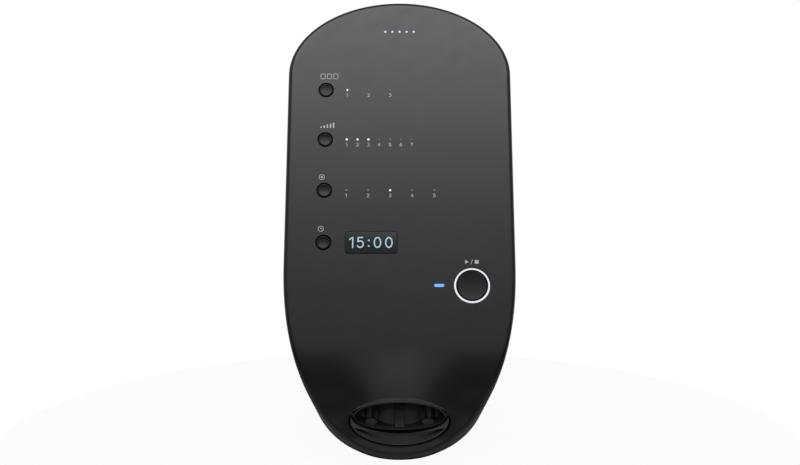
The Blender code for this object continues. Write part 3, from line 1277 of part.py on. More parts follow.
def make_port_insert():
    """The block inside the socket: a contact wall parallel to the face, with a rib and two lugs, and hose nipples behind."""
    outer_inset = 2 * GAP + SOCKET_WALL
    back = -SOCKET_DEPTH
    insert = port_oval("port_insert", back, OVERRUN, outer_inset, INLET_BLACK)
    hollow = port_oval("insert_hollow", back + INSERT_BACK, 2 * OVERRUN, outer_inset + INSERT_WALL)
    reach = SOCKET_DEPTH + CHIN_SETBACK
    contact = box("contact_block", (-reach, -reach, -reach), (reach, CONTACT_TOP, reach), PORT_EMPTY)
    cut(contact, box("contact_front", (-2 * reach, -2 * reach, CONTACT_LEVEL), (2 * reach, 2 * reach, reach), FACE_EMPTY))
    cut(hollow, contact)
    up_the_wall = Matrix.Rotation(math.radians(-90), 4, "X")
    for side in (-1, 1):
        start = (side * PORT_LUG_SPACING / 2, PORT_LUG_HEAD_UP, CONTACT_LEVEL)
        length = CONTACT_END - PORT_LUG_HEAD_UP
        lug = rod(f"port_lug_{side}", start, length, PORT_LUG_RADIUS, FACE_EMPTY, turn=up_the_wall)
        across = side * (PORT_LUG_SPACING / 2 - PORT_LUG_HEAD_INSET)
        start = (across, PORT_LUG_HEAD_UP, CONTACT_LEVEL - INSERT_BACK)
        length = INSERT_BACK + PORT_LUG_HEAD_PROUD
        head = rod(
            f"port_lug_head_{side}", start, length, PORT_LUG_HEAD_RADIUS, FACE_EMPTY, ratio=PORT_LUG_HEAD_RATIO
        )
        cut(hollow, lug, head)
    cut(insert, hollow)
    cut(insert, beyond_rim("insert_front", -SOCKET_DEPTH, GAP))
    half_rib = PORT_RIB_WIDTH / 2
    rib_foot = outer_inset - BORE_LOWER_HEIGHT + FINE_GAP
    rib_low = (-half_rib, CONTACT_FOOT - PORT_RIB_DROP, CONTACT_LEVEL - INSERT_BACK)
    rib_high = (half_rib, CONTACT_END - GAP, CONTACT_LEVEL + PORT_RIB_PROUD)
    rib = box("port_rib", rib_low, rib_high, FACE_EMPTY)
    cut(rib, box("port_rib_below", (-reach, -2 * reach, -reach), (reach, rib_foot, reach), PORT_EMPTY))
    join(insert, rib)
    for side in (-1, 1):
        inner, outer = PORT_SLOT_ACROSS - PORT_SLOT_WIDTH / 2, PORT_SLOT_ACROSS + PORT_SLOT_WIDTH / 2
        faces = sorted((side * inner, side * outer))
        low = (faces[0], PORT_SLOT_FOOT, CONTACT_LEVEL - PORT_SLOT_DEPTH)
        high = (faces[1], CONTACT_END + OVERRUN, CONTACT_LEVEL + GAP)
        cut(insert, box(f"port_slot_{side}", low, high, FACE_EMPTY))
    nipple_low, nipple_high = back - NIPPLE_LENGTH, back + INSERT_BACK / 2
    join(insert, pegs("insert_nipples", NIPPLE_PLACES, nipple_low, nipple_high, NIPPLE_RADIUS, PORT_EMPTY))


def make_hoses():
    for index, (across, up) in enumerate(NIPPLE_PLACES):
        start = PORT @ Vector((across, up, -SOCKET_DEPTH - NIPPLE_LENGTH - GAP))
        start_way = PORT.to_3x3() @ Vector((0, 0, -1))
        front = MANIFOLD_ALONG - MANIFOLD_DEPTH / 2 + FINE_GAP - NIPPLE_LENGTH - GAP
        end = (VALVE_PLACES[index], front, MANIFOLD_MIDDLE)
        path = hose_path(start, start_way, end, (0, -1, 0), PORT_HOSE_REACH)
        tube(f"port_hose_{index + 1}", path, HOSE_RADIUS, None, SILICONE)
    start = (PUMP_CENTRE + HEAD_NIPPLE_OFFSET, PUMP_ALONG, HEAD_TOP - FINE_GAP + NIPPLE_LENGTH + GAP)
    end = (MANIFOLD_HALF_WIDTH - FINE_GAP + NIPPLE_LENGTH + GAP, MANIFOLD_ALONG, MANIFOLD_MIDDLE)
    path = hose_path(start, (0, 0, 1), end, (1, 0, 0), PUMP_HOSE_RISE)
    tube("pump_hose", path, HOSE_RADIUS, None, SILICONE)


def make_battery():
    outline_low = (-PACK_HALF_WIDTH, PACK_CENTRE_UP - PACK_HEIGHT / 2, -WALL - GAP - CELL_DIAMETER)
    outline_high = (PACK_HALF_WIDTH, PACK_CENTRE_UP + PACK_HEIGHT / 2, -WALL - GAP)
    pack = box("battery_pack", outline_low, outline_high, BACK_EMPTY, PACK_BLUE)
    edge = pack.modifiers.new("round_cells", "BEVEL")
    edge.width = CELL_DIAMETER * CELL_EDGE_SHARE
    edge.segments = 2
    edge.limit_method = "ANGLE"
    outline = rounded_rectangle(0, PACK_CENTRE_UP, DOOR_WIDTH, DOOR_HEIGHT, DOOR_RIM)
    flat("battery_door", outline, -DOOR_THICKNESS, 0, BACK_EMPTY, HOUSING_BLACK)


def make_power_board():
    front = -WALL - POWER_BOARD_DEPTH
    foot = CHASSIS_TOP + GAP - UNDERSIDE_HEIGHT + POWER_BOARD_LIFT
    low = (-POWER_BOARD_HALF_WIDTH, foot, front - BOARD_THICKNESS)
    high = (POWER_BOARD_HALF_WIDTH, foot + POWER_BOARD_HEIGHT, front)
    board = box("power_board", low, high, BACK_EMPTY, BOARD_GREEN)
    half = SWITCH_SIZE / 2
    low = (POWER_BUTTON_ACROSS - half, SERVICE_UP - half, front - FINE_GAP)
    high = (POWER_BUTTON_ACROSS + half, SERVICE_UP + half, front + SWITCH_HEIGHT)
    join(board, box("power_switch", low, high, BACK_EMPTY))
    place_on_back = [(POWER_BUTTON_ACROSS, SERVICE_UP)]
    low, high = front + SWITCH_HEIGHT - STEM_HOLE_DEPTH, front + SWITCH_HEIGHT + OVERRUN
    cut(board, pegs("power_switch_hole", place_on_back, low, high, STEM_HOLE_RADIUS, BACK_EMPTY))

    half = INLET_BODY / 2
    low = (INLET_ACROSS - half, SERVICE_UP - half, front + GAP)
    high = (INLET_ACROSS + half, SERVICE_UP + half, -WALL - GAP)
    inlet = box("dc_inlet", low, high, BACK_EMPTY, INLET_BLACK)
    place_on_back = [(INLET_ACROSS, SERVICE_UP)]
    nose_low, nose_high = -WALL - GAP - FINE_GAP, -GAP
    join(inlet, pegs("inlet_nose", place_on_back, nose_low, nose_high, INLET_NOSE_RADIUS, BACK_EMPTY, ROUND_STEPS))
    low = nose_high - INLET_BORE_DEPTH
    cut(inlet, pegs("inlet_bore", place_on_back, low, OVERRUN, INLET_BORE_RADIUS, BACK_EMPTY, SMALL_ROUND_STEPS))
    high = nose_high - 2 * GAP
    join(inlet, pegs("inlet_pin", place_on_back, low - GAP, high, INLET_PIN_RADIUS, BACK_EMPTY))

    flange_top = -WALL - GAP
    stem_end = front + SWITCH_HEIGHT - STEM_SEAT
    profile = (
        (0, POWER_BUTTON_DOME),
        (POWER_BUTTON_RADIUS * BUTTON_RIM_SHARE, POWER_BUTTON_DOME),
        (POWER_BUTTON_RADIUS, 0),
        (POWER_BUTTON_RADIUS, flange_top),
        (POWER_BUTTON_RADIUS + BUTTON_FLANGE, flange_top),
        (POWER_BUTTON_RADIUS + BUTTON_FLANGE, flange_top - BUTTON_FLANGE),
        (STEM_RADIUS, flange_top - BUTTON_FLANGE),
        (STEM_RADIUS, stem_end),
        (0, stem_end),
    )
    turned("power_button", profile, (POWER_BUTTON_ACROSS, SERVICE_UP, 0), BACK_EMPTY, BUTTON_BLACK, BUTTON_STEPS)


make_front_cover()
make_rear_housing()
make_feet()
make_small_buttons()
make_start_button()
make_display()
make_light_pipes()
make_control_board()
make_board_screws()
make_chassis()
make_chassis_screws()
make_pump_mounts()
make_pump()
make_valves()
make_port_socket()
make_port_insert()
make_hoses()
make_battery()
make_power_board()
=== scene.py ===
"""Looks of the compression therapy pump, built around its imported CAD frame.

Metres, +Z up. Face coordinates are across, up the leaning face and out of it. Back and port have frames of
their own.
"""

import json
import math

import bmesh
import bpy
from mathutils import Matrix, Vector


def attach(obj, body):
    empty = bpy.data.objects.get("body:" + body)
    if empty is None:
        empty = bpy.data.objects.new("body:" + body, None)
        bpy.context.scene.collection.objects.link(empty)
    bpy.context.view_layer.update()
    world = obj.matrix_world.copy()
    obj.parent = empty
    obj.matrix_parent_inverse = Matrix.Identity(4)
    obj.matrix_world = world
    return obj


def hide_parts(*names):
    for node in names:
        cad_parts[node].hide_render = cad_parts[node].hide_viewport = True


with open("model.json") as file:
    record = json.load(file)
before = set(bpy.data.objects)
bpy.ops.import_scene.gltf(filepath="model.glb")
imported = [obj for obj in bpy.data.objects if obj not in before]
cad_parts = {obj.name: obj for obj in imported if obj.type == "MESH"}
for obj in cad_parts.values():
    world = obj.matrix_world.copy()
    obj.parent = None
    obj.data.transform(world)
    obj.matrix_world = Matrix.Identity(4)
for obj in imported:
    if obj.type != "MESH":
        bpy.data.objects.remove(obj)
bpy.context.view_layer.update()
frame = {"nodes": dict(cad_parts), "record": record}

MM = 0.001
RAD = math.radians


def mm(*values):
    """Millimetres in metres."""
    return [value * MM for value in values]


# Sizes of the housing and its port, as in the solids but for the hood's flare and the lip's arc
LEAN, BACK_LEAN = RAD(22), RAD(5)
WALL, GAP = mm(2.2, 0.3)
HALF_WIDTH, BOTTOM_RISE, SIDE_HEIGHT, TOP_RISE = mm(54.35, 88.7, 96.2, 38.6)
BOTTOM_POWER_ACROSS, BOTTOM_POWER_UP = 2.17, 2.155
FACE_HEIGHT = BOTTOM_RISE + SIDE_HEIGHT + TOP_RISE
FACE_FOOT_HEIGHT, UNDERSIDE_HEIGHT = mm(9.5, 2)
FACE_FOOT_ALONG, BACK_FOOT_ALONG = mm(-70.738, 64.07)
CHIN_SETBACK, CHIN_LOW, CHIN_STEEP, CHIN_HIGH = mm(7, 14, 28, 52)
HOOD_FLAT_HALF_WIDTH, HOOD_HALF_WIDTH = mm(4, 32)
HOOD_FADE_LOW, HOOD_FADE_HIGH = mm(8, 19)
HOOD_FLARE, HOOD_FLARE_HIGH = mm(0.9, 50)
COVER_EDGE_RADIUS, COVER_SKIRT = mm(2.4, 4.6)
BACK_EDGE_RADIUS, BACK_EDGE_START = mm(16, 78)
FLOOR_EDGE_RADIUS, FLOOR_EDGE_END = mm(10, 38)
HEEL_BLEND, SPINE_LOW, SPINE_DROP_START = mm(18, 16, 145)
SPINE_DROP_SHARE = 0.42
PORT_DROP, SOCKET_RIM_TILT, SOCKET_MOUTH_RISE = RAD(25), RAD(10), RAD(31)
PORT_LIP_HEIGHT, PORT_LIP_REACH = mm(26.4, 1.3)
PORT_LIP_WALL, PORT_LIP_SIDE_WALL, LIP_FLATNESS = mm(3.1, 0.7, 0.02)
LIP_ARC_POWER = 0.6
BORE_HALF_WIDTH, BORE_HALF_HEIGHT, BORE_LOWER_HEIGHT, BORE_EASE = mm(22.8, 9.2, 8.1, 0.4)
SOCKET_WALL, SOCKET_DEPTH, SOCKET_RIM_BACK = mm(0.7, 21, 0.6)
PORT_REACH = SOCKET_DEPTH + CHIN_SETBACK
SCOOP_WALL, SCOOP_CORNER_DROP, SCOOP_MIDDLE_DROP, PAINTED_SHADOW_WIDTH = mm(0.5, 2.6, 4.2, 2.2)
SCOOP_HALF_WIDTH = BORE_HALF_WIDTH - GAP - SCOOP_WALL
SCOOP_DEPTH = BORE_LOWER_HEIGHT - GAP - SCOOP_WALL
SCOOP_STEPS = 64
INSERT_WALL, INSERT_BACK = mm(0.7, 2)
CONTACT_LEVEL, CONTACT_FOOT, CONTACT_END, CONTACT_TOP = mm(-14.2, 15.4, 25.4, 0.3)
TROUGH_START, TROUGH_WIDTH, TROUGH_EDGE, TROUGH_HIGH = mm(2.6, 7.4, 0.02, 6)
LUG_ACROSS, LUG_HEAD_ACROSS, LUG_UP, LUG_RADIUS, LUG_HEAD_RADIUS = mm(13.95, 13.2, 17.1, 2.17, 3.2)
RIB_HALF_WIDTH, SLOT_START, SLOT_END = mm(2.25, 9.8, 11.8)
CUT_LOW, CUT_HIGH = -WALL - 1 * MM, 1 * MM

FACE = Matrix.Translation((0, FACE_FOOT_ALONG, FACE_FOOT_HEIGHT)) @ Matrix.Rotation(RAD(90) - LEAN, 4, "X")
BACK = (
    Matrix.Translation((0, BACK_FOOT_ALONG, UNDERSIDE_HEIGHT))
    @ Matrix.Rotation(RAD(180), 4, "Z")
    @ Matrix.Rotation(RAD(90) - BACK_LEAN, 4, "X")
)
PORT_TURN = Matrix.Rotation(LEAN + PORT_DROP, 4, "X")
PORT_UP = PORT_TURN.to_3x3() @ Vector((0, 1, 0))
PORT_CENTRE = Vector((0, PORT_LIP_HEIGHT, PORT_LIP_REACH)) - PORT_UP * (BORE_HALF_HEIGHT + PORT_LIP_WALL)
PORT = FACE @ Matrix.Translation(PORT_CENTRE) @ PORT_TURN
WORLD = Matrix.Identity(4)

# Buttons, lights and display. A button's flange lies behind the wall and its stem ends at the switch.
BUTTON_COLUMN = -35.75 * MM
BUTTON_PLACES = {
    "time_button": 99.15 * MM,
    "zone_button": 124.82 * MM,
    "pressure_button": 150.49 * MM,
    "attachment_button": 176.16 * MM,
}
BUTTON_RADIUS, BUTTON_GROOVE, BUTTON_FLANGE = mm(3.1, 0.6, 4.4)
FLANGE_LEVEL, FLANGE_THICKNESS = -WALL - GAP, 0.9 * MM
STEM_RADIUS, STEM_END, HOLE_EASE = mm(1.2, -8.9, 0.15)
START_ACROSS, START_UP = mm(33.7, 78.4)
RING_RADIUS, RING_WIDTH, RING_SLEEVE, RING_GAP, RING_FLANGE = mm(8.25, 0.95, 0.2, 0.12, 10)
START_CAP_GAP, START_FLANGE, START_FLANGE_DROP = mm(0.4, 9, 1.2)
DISPLAY_ACROSS, DISPLAY_UP = mm(-13.3, 99.1)
WINDOW_WIDTH, WINDOW_HEIGHT, WINDOW_CORNER, WINDOW_RIM, WINDOW_SEAT = mm(24.5, 10.8, 1.4, 1.6, 0.3)
# Width, height and corner of the status bar, of its hole and of the painted glow that spreads around it onto
# the face
STATUS_ACROSS = 18.4 * MM
STATUS_BAR, STATUS_HOLE, STATUS_GLOW_SPREAD = mm(4.5, 1.3, 0.6), mm(4.9, 1.7, 0.8), mm(5.4, 2.2, 1.05)
# First light across and up, pitch, how many, and which of them are lit
LIGHT_ROWS = {
    "zone": (*mm(-25.4, 124.9, 10.47), 5, (2,)),
    "pressure": (*mm(-25.4, 150.6, 5.2), 7, (0, 1, 2)),
    "attachment": (*mm(-25.4, 176.2, 10.4), 3, (0,)),
    "battery": (*mm(-7.05, 207.3, 3.52), 5, (0, 1, 2, 3, 4)),
}
LIGHT_RADIUS, LIGHT_HOLE_RADIUS = mm(0.5, 0.62)
# The display's figures, with their places across in millimetres
DIGITS = (("1", -22.5), ("5", -18.45), (":", -14.45), ("0", -10.35), ("0", -5.0))
DIGIT_HEIGHT, DIGIT_WEIGHT, SIGN_WEIGHT = mm(5.4, 0.6, 0.26)
DIGIT_WIDTH_SHARE, COLON_SHARE = 0.275, 0.62

# Back and underside
PACK_CENTRE_UP = 128 * MM
DOOR_WIDTH, DOOR_HEIGHT, DOOR_RIM, DOOR_PLAY, SCREW_INSET = mm(78.8, 71.2, 3, 0.5, 5)
DOOR_SCREWS = [
    (across * (DOOR_WIDTH / 2 - SCREW_INSET), PACK_CENTRE_UP + up * (DOOR_HEIGHT / 2 - SCREW_INSET))
    for across in (-1, 1)
    for up in (-1, 1)
]
INLET_ACROSS, INLET_HOLE_RADIUS, SERVICE_UP = mm(-15, 4.6, 27)
POWER_ACROSS, POWER_HOLE_RADIUS, POWER_RADIUS = mm(15, 5.3, 5)
POWER_FLANGE, POWER_LEVEL, POWER_STEM_END = mm(5.9, -2.5, -13.9)
VENT_ACROSS, VENT_FIRST_UP, VENT_PITCH, VENT_DEPTH = mm(18, 56, 4.2, 1.3)
VENT_ROWS, VENT_SIZE = 6, mm(20, 1.6, 0.79)
FOOT_RADIUS = 6.5 * MM
FOOT_PLACES = {
    "foot_front_left": mm(-17, -16),
    "foot_front_right": mm(17, -16),
    "foot_rear_left": mm(-32, 42),
    "foot_rear_right": mm(32, 42),
}
UNDERSIDE_SCREWS = [mm(across, along) for across in (-12.65, 12.65) for along in (-3.72, 24.8)]

BODY = "pump_body"

# How the outline's rows are shared out: closer low down, and as if each radian of turn were this much longer
OUTLINE_SAMPLES = 3000
LOW_DETAIL, LOW_END, TURN_LENGTH = 1.9, 62 * MM, 45 * MM

# The patches of wear against a surface's blotches, the floor, the pale wall behind and the camera
WEAR_SHARE = 0.35
FLOOR_RADIUS, FLOOR_GREY, FLOOR_WHITE_SHARE = 0.2, 0.6, 0.95
WALL_LIGHT = 0.55
CAMERA_TARGET, CAMERA_DISTANCE, CAMERA_ELEVATION = mm(0, -31.79, 105.89), 550 * MM, RAD(6)
CAMERA_SENSOR, CAMERA_LENS, CAMERA_SHIFT = 36, 52.65, 0.00056

# Soft light in front, by elevation in degrees: a pale band level with the lower face, and little elsewhere
FRONT_LIGHT_TOP = 2.0
FRONT_LIGHT = (
    (-90, 0.25),
    (-20, 0.03),
    (0, 0.06),
    (12, 0.1),
    (20, 0.16),
    (27.5, 1.2),
    (34, 0.27),
    (44, 0.22),
    (55, 0.25),
    (90, 0.25),
)

# Soft boxes above and in front: place, aim, width, height and power in watts
SOFT_BOXES = {
    "soft_box_high": ((0, -0.35, 0.75), (0, -0.03, 0.16), 0.8, 0.3, 3.2),
    "soft_box_low": ((0, -0.42, 0.62), (0, -0.03, 0.16), 0.8, 0.25, 0.75),
}


# Materials


def feed(tree, socket, value):
    """Links an output to a socket, or sets the socket to a value."""
    if isinstance(value, bpy.types.NodeSocket):
        tree.links.new(value, socket)
    else:
        socket.default_value = value


def node(tree, kind, *inputs, **named):
    """A node with its inputs fed, in order or by name with underscores for spaces, and its settings set."""
    made = tree.nodes.new(kind)
    for key, value in named.items():
        name = key.replace("_", " ")
        if name in made.inputs:
            feed(tree, made.inputs[name], value)
        else:
            setattr(made, key, value)
    for socket, value in zip(made.inputs, inputs):
        feed(tree, socket, value)
    return made


def noise(tree, coords, size, detail, roughness, stretch):
    if stretch:
        coords = node(tree, "ShaderNodeMapping", Vector=coords, Scale=stretch).outputs["Vector"]
    made = node(tree, "ShaderNodeTexNoise", Vector=coords, Scale=1 / size, Detail=detail, Roughness=roughness)
    return made.outputs["Fac"]


def span(tree, value, low, high, start=0.3, end=0.7, **settings):
    """A value carried over from one range, by default the middle of a noise, to another."""
    made = node(tree, "ShaderNodeMapRange", value, start, end, low, high, **settings)
    return made.outputs["Result"]


def surface(
    name,
    colour,
    roughness,
    grain,
    relief,
    variation=0.08,
    rough_spread=0.05,
    blotch=18 * MM,
    stretch=None,
    specular=0.5,
    metallic=0.0,
    coat=0.0,
    sheen=0.0,
    emission=(1, 1, 1),
    strength=0.0,
):
    """A moulded, rubbery, coated or metal surface: mottled colour, uneven gloss and a fine grain."""
    made = bpy.data.materials.new(name)
    made.use_nodes = True
    tree = made.node_tree
    coords = node(tree, "ShaderNodeTexCoord").outputs["Object"]
    mottled = span(tree, noise(tree, coords, blotch, 4.0, 0.6, stretch), 0, 1)
    low = tuple(c * (1 - variation) for c in colour)
    high = tuple(min(c * (1 + variation), 1) for c in colour)
    mixed = node(tree, "ShaderNodeMix", data_type="RGBA", Factor=mottled, A=(*low, 1), B=(*high, 1))
    wear = noise(tree, coords, blotch * WEAR_SHARE, 5.0, 0.65, stretch)
    fine = noise(tree, coords, grain, 2.0, 0.5, stretch)
    bump = node(tree, "ShaderNodeBump", Strength=1.0, Distance=relief, Height=fine)
    sockets = {
        "Base Color": mixed.outputs["Result"],
        "Roughness": span(tree, wear, max(roughness - rough_spread, 0.02), min(roughness + rough_spread, 1)),
        "Normal": bump.outputs["Normal"],
        "Metallic": metallic,
        "Specular IOR Level": specular,
        "Coat Weight": coat,
        "Coat Roughness": 0.1,
        "Sheen Weight": sheen,
        "Emission Color": (*emission, 1),
        "Emission Strength": strength,
    }
    for key, value in sockets.items():
        feed(tree, tree.nodes["Principled BSDF"].inputs[key], value)
    made.diffuse_color = (*colour, 1)
    return made


# Name, colour, roughness, grain size and relief height in metres, then what differs from the usual
SATIN = {"variation": 0.06, "rough_spread": 0.03}
LENS = {"grain": 0.2 * MM, "relief": 5e-7, "blotch": 0.6 * MM}
STATUS = {**LENS, "blotch": 1 * MM}
COVER = surface("cover_satin", (0.0042, 0.0042, 0.0042), 0.36, 0.22 * MM, 1.2e-6, **SATIN)
# Painted highlight: the port lip's flat front, the cover's plastic made lighter and glossier so that it reads
# as lit
LIP_PAINTED_HIGHLIGHT = surface("lip_painted_highlight", (0.03, 0.03, 0.03), 0.4, 0.22 * MM, 1.2e-6, specular=0.8, **SATIN)
HOUSING = surface("housing_grained", (0.0062, 0.0062, 0.0062), 0.46, 0.35 * MM, 9e-6, variation=0.1)
BUTTON = surface("button_satin", (0.005, 0.005, 0.0052), 0.4, 0.25 * MM, 1e-6, specular=0.32, **SATIN)
WINDOW = surface("window_tinted", (0.006, 0.0078, 0.0088), 0.34, 1 * MM, 1e-7, 0.05, 0.03, specular=0.3)
# Painted light: the port's inside, made much lighter than the cover's plastic so that the deep hollow reads
# as lit
PORT_INNER_PAINTED_LIGHT = surface("port_inner_painted_light", (0.03, 0.03, 0.03), 0.42, 0.3 * MM, 2e-6)
# Painted light: the socket is the cover's dark plastic made several times lighter, so that the scoop below
# the rim reads as lit
SCOOP_PAINTED_LIGHT = surface("socket_painted_light", (0.02, 0.02, 0.02), 0.4, 0.25 * MM, 1.5e-6, **SATIN)
# Painted shadow: a near-black matt strip laid under the port's rim, where only its shade falls
PAINTED_SHADOW_MATT = surface("painted_shadow_matt", (0.001, 0.001, 0.001), 0.7, 0.3 * MM, 2e-6, variation=0.1, specular=0.04)
RUBBER = surface(
    "foot_rubber_matt", (0.02, 0.02, 0.02), 0.82, 0.3 * MM, 2e-5, variation=0.15, blotch=4 * MM, sheen=0.1
)
PRINT = surface("white_print", (0.55, 0.56, 0.56), 0.55, 0.15 * MM, 2e-6, variation=0.06, blotch=2 * MM)
STEEL = surface(
    "zinc_plated", (0.55, 0.55, 0.57), 0.32, 0.25 * MM, 6e-6, 0.12, 0.08, stretch=(1, 1, 14), metallic=1.0
)
LENS_DARK = surface("lens_unlit", (0.16, 0.17, 0.18), 0.25, **LENS)
LENS_BLUE = surface("lens_lit", (0.3, 0.36, 0.42), 0.3, emission=(0.6, 0.72, 0.95), strength=0.85, **LENS)
LENS_WHITE = surface("lens_white_lit", (0.6, 0.65, 0.7), 0.3, emission=(0.74, 0.8, 1.0), strength=0.9, **LENS)
STATUS_GLOW = surface(
    "status_lit", (0.03, 0.08, 0.2), 0.3, emission=(0.17, 0.46, 1.0), strength=1.05, **STATUS
)
# Painted light: a thin glowing sheet on the face around the status bar's hole, standing for the bar's light
# spilling onto the plastic
STATUS_PAINTED_GLOW = surface(
    "status_painted_glow", (0.006, 0.012, 0.03), 0.4, emission=(0.012, 0.05, 0.2), strength=0.6, **STATUS
)
RING = {"grain": 0.3 * MM, "relief": 1e-6, "blotch": 3 * MM}
DIGIT = {"grain": 0.3 * MM, "relief": 1e-7, "blotch": 1 * MM}
RING_GLOW = surface("ring_lit", (0.26, 0.28, 0.3), 0.4, emission=(0.86, 0.88, 0.93), strength=0.78, **RING)
DIGIT_GLOW = surface("digit_lit", (0.03, 0.05, 0.06), 0.4, emission=(0.4, 0.61, 0.72), strength=0.9, **DIGIT)

SLOT_MATERIALS = {
    "cover_black": COVER,
    "housing_black": HOUSING,
    "button_black": BUTTON,
    "window_grey": WINDOW,
    "ring_white": RING_GLOW,
    "foot_rubber": RUBBER,
    "steel": STEEL,
    "display_black": surface("display_face", (0.01, 0.011, 0.013), 0.35, 0.4 * MM, 1e-6),
    "light_blue": surface("light_pipe_clear", (0.3, 0.42, 0.55), 0.22, 0.4 * MM, 1e-6, coat=0.4),
    "board_green": surface(
        "board_mask", (0.012, 0.09, 0.04), 0.42, 0.3 * MM, 1.2e-5, variation=0.2, blotch=3 * MM, coat=0.3
    ),
    "mount_rubber": surface("mount_rubber_matt", (0.035, 0.035, 0.038), 0.8, 0.3 * MM, 1.5e-5),
    "chassis_grey": surface("chassis_moulded", (0.24, 0.25, 0.26), 0.55, 0.4 * MM, 9e-6),
    "pump_ivory": surface("ivory_moulded", (0.62, 0.6, 0.52), 0.45, 0.5 * MM, 4e-6),
    "silicone": surface("silicone_smooth", (0.66, 0.68, 0.69), 0.35, 0.6 * MM, 2e-6, sheen=0.1),
    "pack_blue": surface(
        "shrink_wrap", (0.02, 0.08, 0.3), 0.3, 2 * MM, 3e-5, variation=0.15, blotch=8 * MM, coat=0.6
    ),
    "inlet_black": surface("inlet_moulded", (0.012, 0.012, 0.012), 0.42, 0.4 * MM, 3e-6),
}
for subpart in frame["record"]["subparts"]:
    for material_slot in frame["nodes"][subpart["node"]].material_slots:
        material_slot.material = SLOT_MATERIALS[subpart["material_slot"]]


# Shapes and pieces


def link(name, data):
    made = bpy.data.objects.new(name, data)
    bpy.context.scene.collection.objects.link(made)
    return made


def add(name, shape, finish=None, matrix=None):
    """An object at the origin from a bmesh, which it uses up."""
    if matrix:
        shape.transform(matrix)
    mesh = bpy.data.meshes.new(name)
    shape.to_mesh(mesh)
    shape.free()
    if finish:
        mesh.materials.append(finish)
    return link(name, mesh)


def shade(mesh, angle=35):
    mesh.shade_smooth()
    mesh.set_sharp_from_angle(angle=RAD(angle))


def dress(made, stands_for=None, body=BODY):
    """Puts a piece on the body it rides on and hides the node it stands for."""
    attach(made, body)
    if stands_for:
        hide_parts(stands_for)


def piece(name, shape, matrix, finish, stands_for=None, body=BODY, angle=35):
    """A finished piece whose mesh sits in its place."""
    made = add(name, shape, finish, matrix)
    shade(made.data, angle)
    dress(made, stands_for, body)


def settle(made, matrix):
    """Moves a carved mesh from its own frame into the world."""
    made.data.transform(matrix)
    shade(made.data)


def bridge(shape, lower, upper):
    """Faces between two rings of equally many points, or between a ring and a tip."""
    count = max(len(lower), len(upper))
    for i in range(count):
        j = (i + 1) % count
        pairs = ((lower, i), (lower, j), (upper, j), (upper, i))
        corners = dict.fromkeys(ring[index % len(ring)] for ring, index in pairs)
        shape.faces.new(list(corners))


def rings_mesh(rings, round_again=False):
    """A closed skin over rings of equally many points, which can end where it starts. One point is a tip."""
    shape = bmesh.new()
    made = [[shape.verts.new(p) for p in ring] for ring in rings]
    for lower, upper in zip(made, made[1:] + made[:1] if round_again else made[1:]):
        bridge(shape, lower, upper)
    for ring in () if round_again else (made[0], made[-1]):
        if len(ring) > 1:
            shape.faces.new(ring)
    bmesh.ops.recalc_face_normals(shape, faces=shape.faces)
    return shape


def circle(radius, height, across=0.0, up=0.0, steps=64, squash=1.0):
    if radius < 1e-9:
        return [(across, up, height)]
    angles = [2 * math.pi * i / steps for i in range(steps)]
    return [(across + radius * math.cos(a), up + radius * squash * math.sin(a), height) for a in angles]


def turned(profile, across=0.0, up=0.0, steps=64):
    """A solid of revolution: pairs of radius and height from one end of the axis to the other."""
    return rings_mesh([circle(r, h, across, up, steps) for r, h in profile])


def contour(radius, *points):
    """Part of a profile: how far outside a radius and how high each point lies, in millimetres."""
    return [(radius + out * MM, level * MM) for out, level in points]


def disc(radius, start, end, across, up, steps):
    return turned(((0, start), (radius, start), (radius, end), (0, end)), across, up, steps)


def hoop(profile, across, up, steps=96):
    """A ring of revolution: a closed profile of radius and height pairs that keeps clear of the axis."""
    return rings_mesh([circle(r, h, across, up, steps) for r, h in profile], True)


def ellipse(cx, cy, rx, ry, steps=36, start=0, end=360):
    """Points of an ellipse or a part of it, from one angle in degrees to another."""
    count = steps if end - start >= 360 else steps + 1
    angles = [RAD(start + (end - start) * i / steps) for i in range(count)]
    return [(cx + rx * math.cos(a), cy + ry * math.sin(a)) for a in angles]


def rounded_rectangle(across, up, width, height, corner, steps=8):
    points = []
    for quarter, (sx, sy) in enumerate(((1, 1), (-1, 1), (-1, -1), (1, -1))):
        cx, cy = across + sx * (width / 2 - corner), up + sy * (height / 2 - corner)
        points += ellipse(cx, cy, corner, corner, steps, 90 * quarter, 90 * quarter + 90)
    return points


def plate(points_by_level):
    """A closed prism through outlines of equally many points: pairs of outline and level."""
    return rings_mesh([[(x, y, level) for x, y in points] for points, level in points_by_level])


def prism(outline, low, high):
    return plate([(outline, low), (outline, high)])


def eased_plate(across, up, width, height, corner, low, high, ease):
    """A rounded plate with its upper rim eased over."""
    levels = [(rounded_rectangle(across, up, width, height, corner), low)]
    for i in range(5):
        angle = RAD(90 * i / 4)
        inset = ease * (1 - math.cos(angle))
        size = (width - 2 * inset, height - 2 * inset, max(corner - inset, ease / 4))
        levels.append((rounded_rectangle(across, up, *size), high - ease * (1 - math.sin(angle))))
    return plate(levels)


def block(low, high, ease=0.0):
    """A box between two corners with every edge rounded by ease."""
    shape = bmesh.new()
    bmesh.ops.create_cube(shape, size=1)
    low, high = Vector(low), Vector(high)
    bmesh.ops.scale(shape, vec=high - low, verts=shape.verts)
    bmesh.ops.translate(shape, vec=(low + high) / 2, verts=shape.verts)
    if ease:
        bmesh.ops.bevel(shape, geom=list(shape.edges), offset=ease, segments=3, profile=0.5, affect="EDGES")
    return shape


def merge(*shapes):
    """One bmesh out of several."""
    whole = shapes[0]
    for other in shapes[1:]:
        mesh = bpy.data.meshes.new("joined")
        other.to_mesh(mesh)
        other.free()
        whole.from_mesh(mesh)
        bpy.data.meshes.remove(mesh)
    return whole


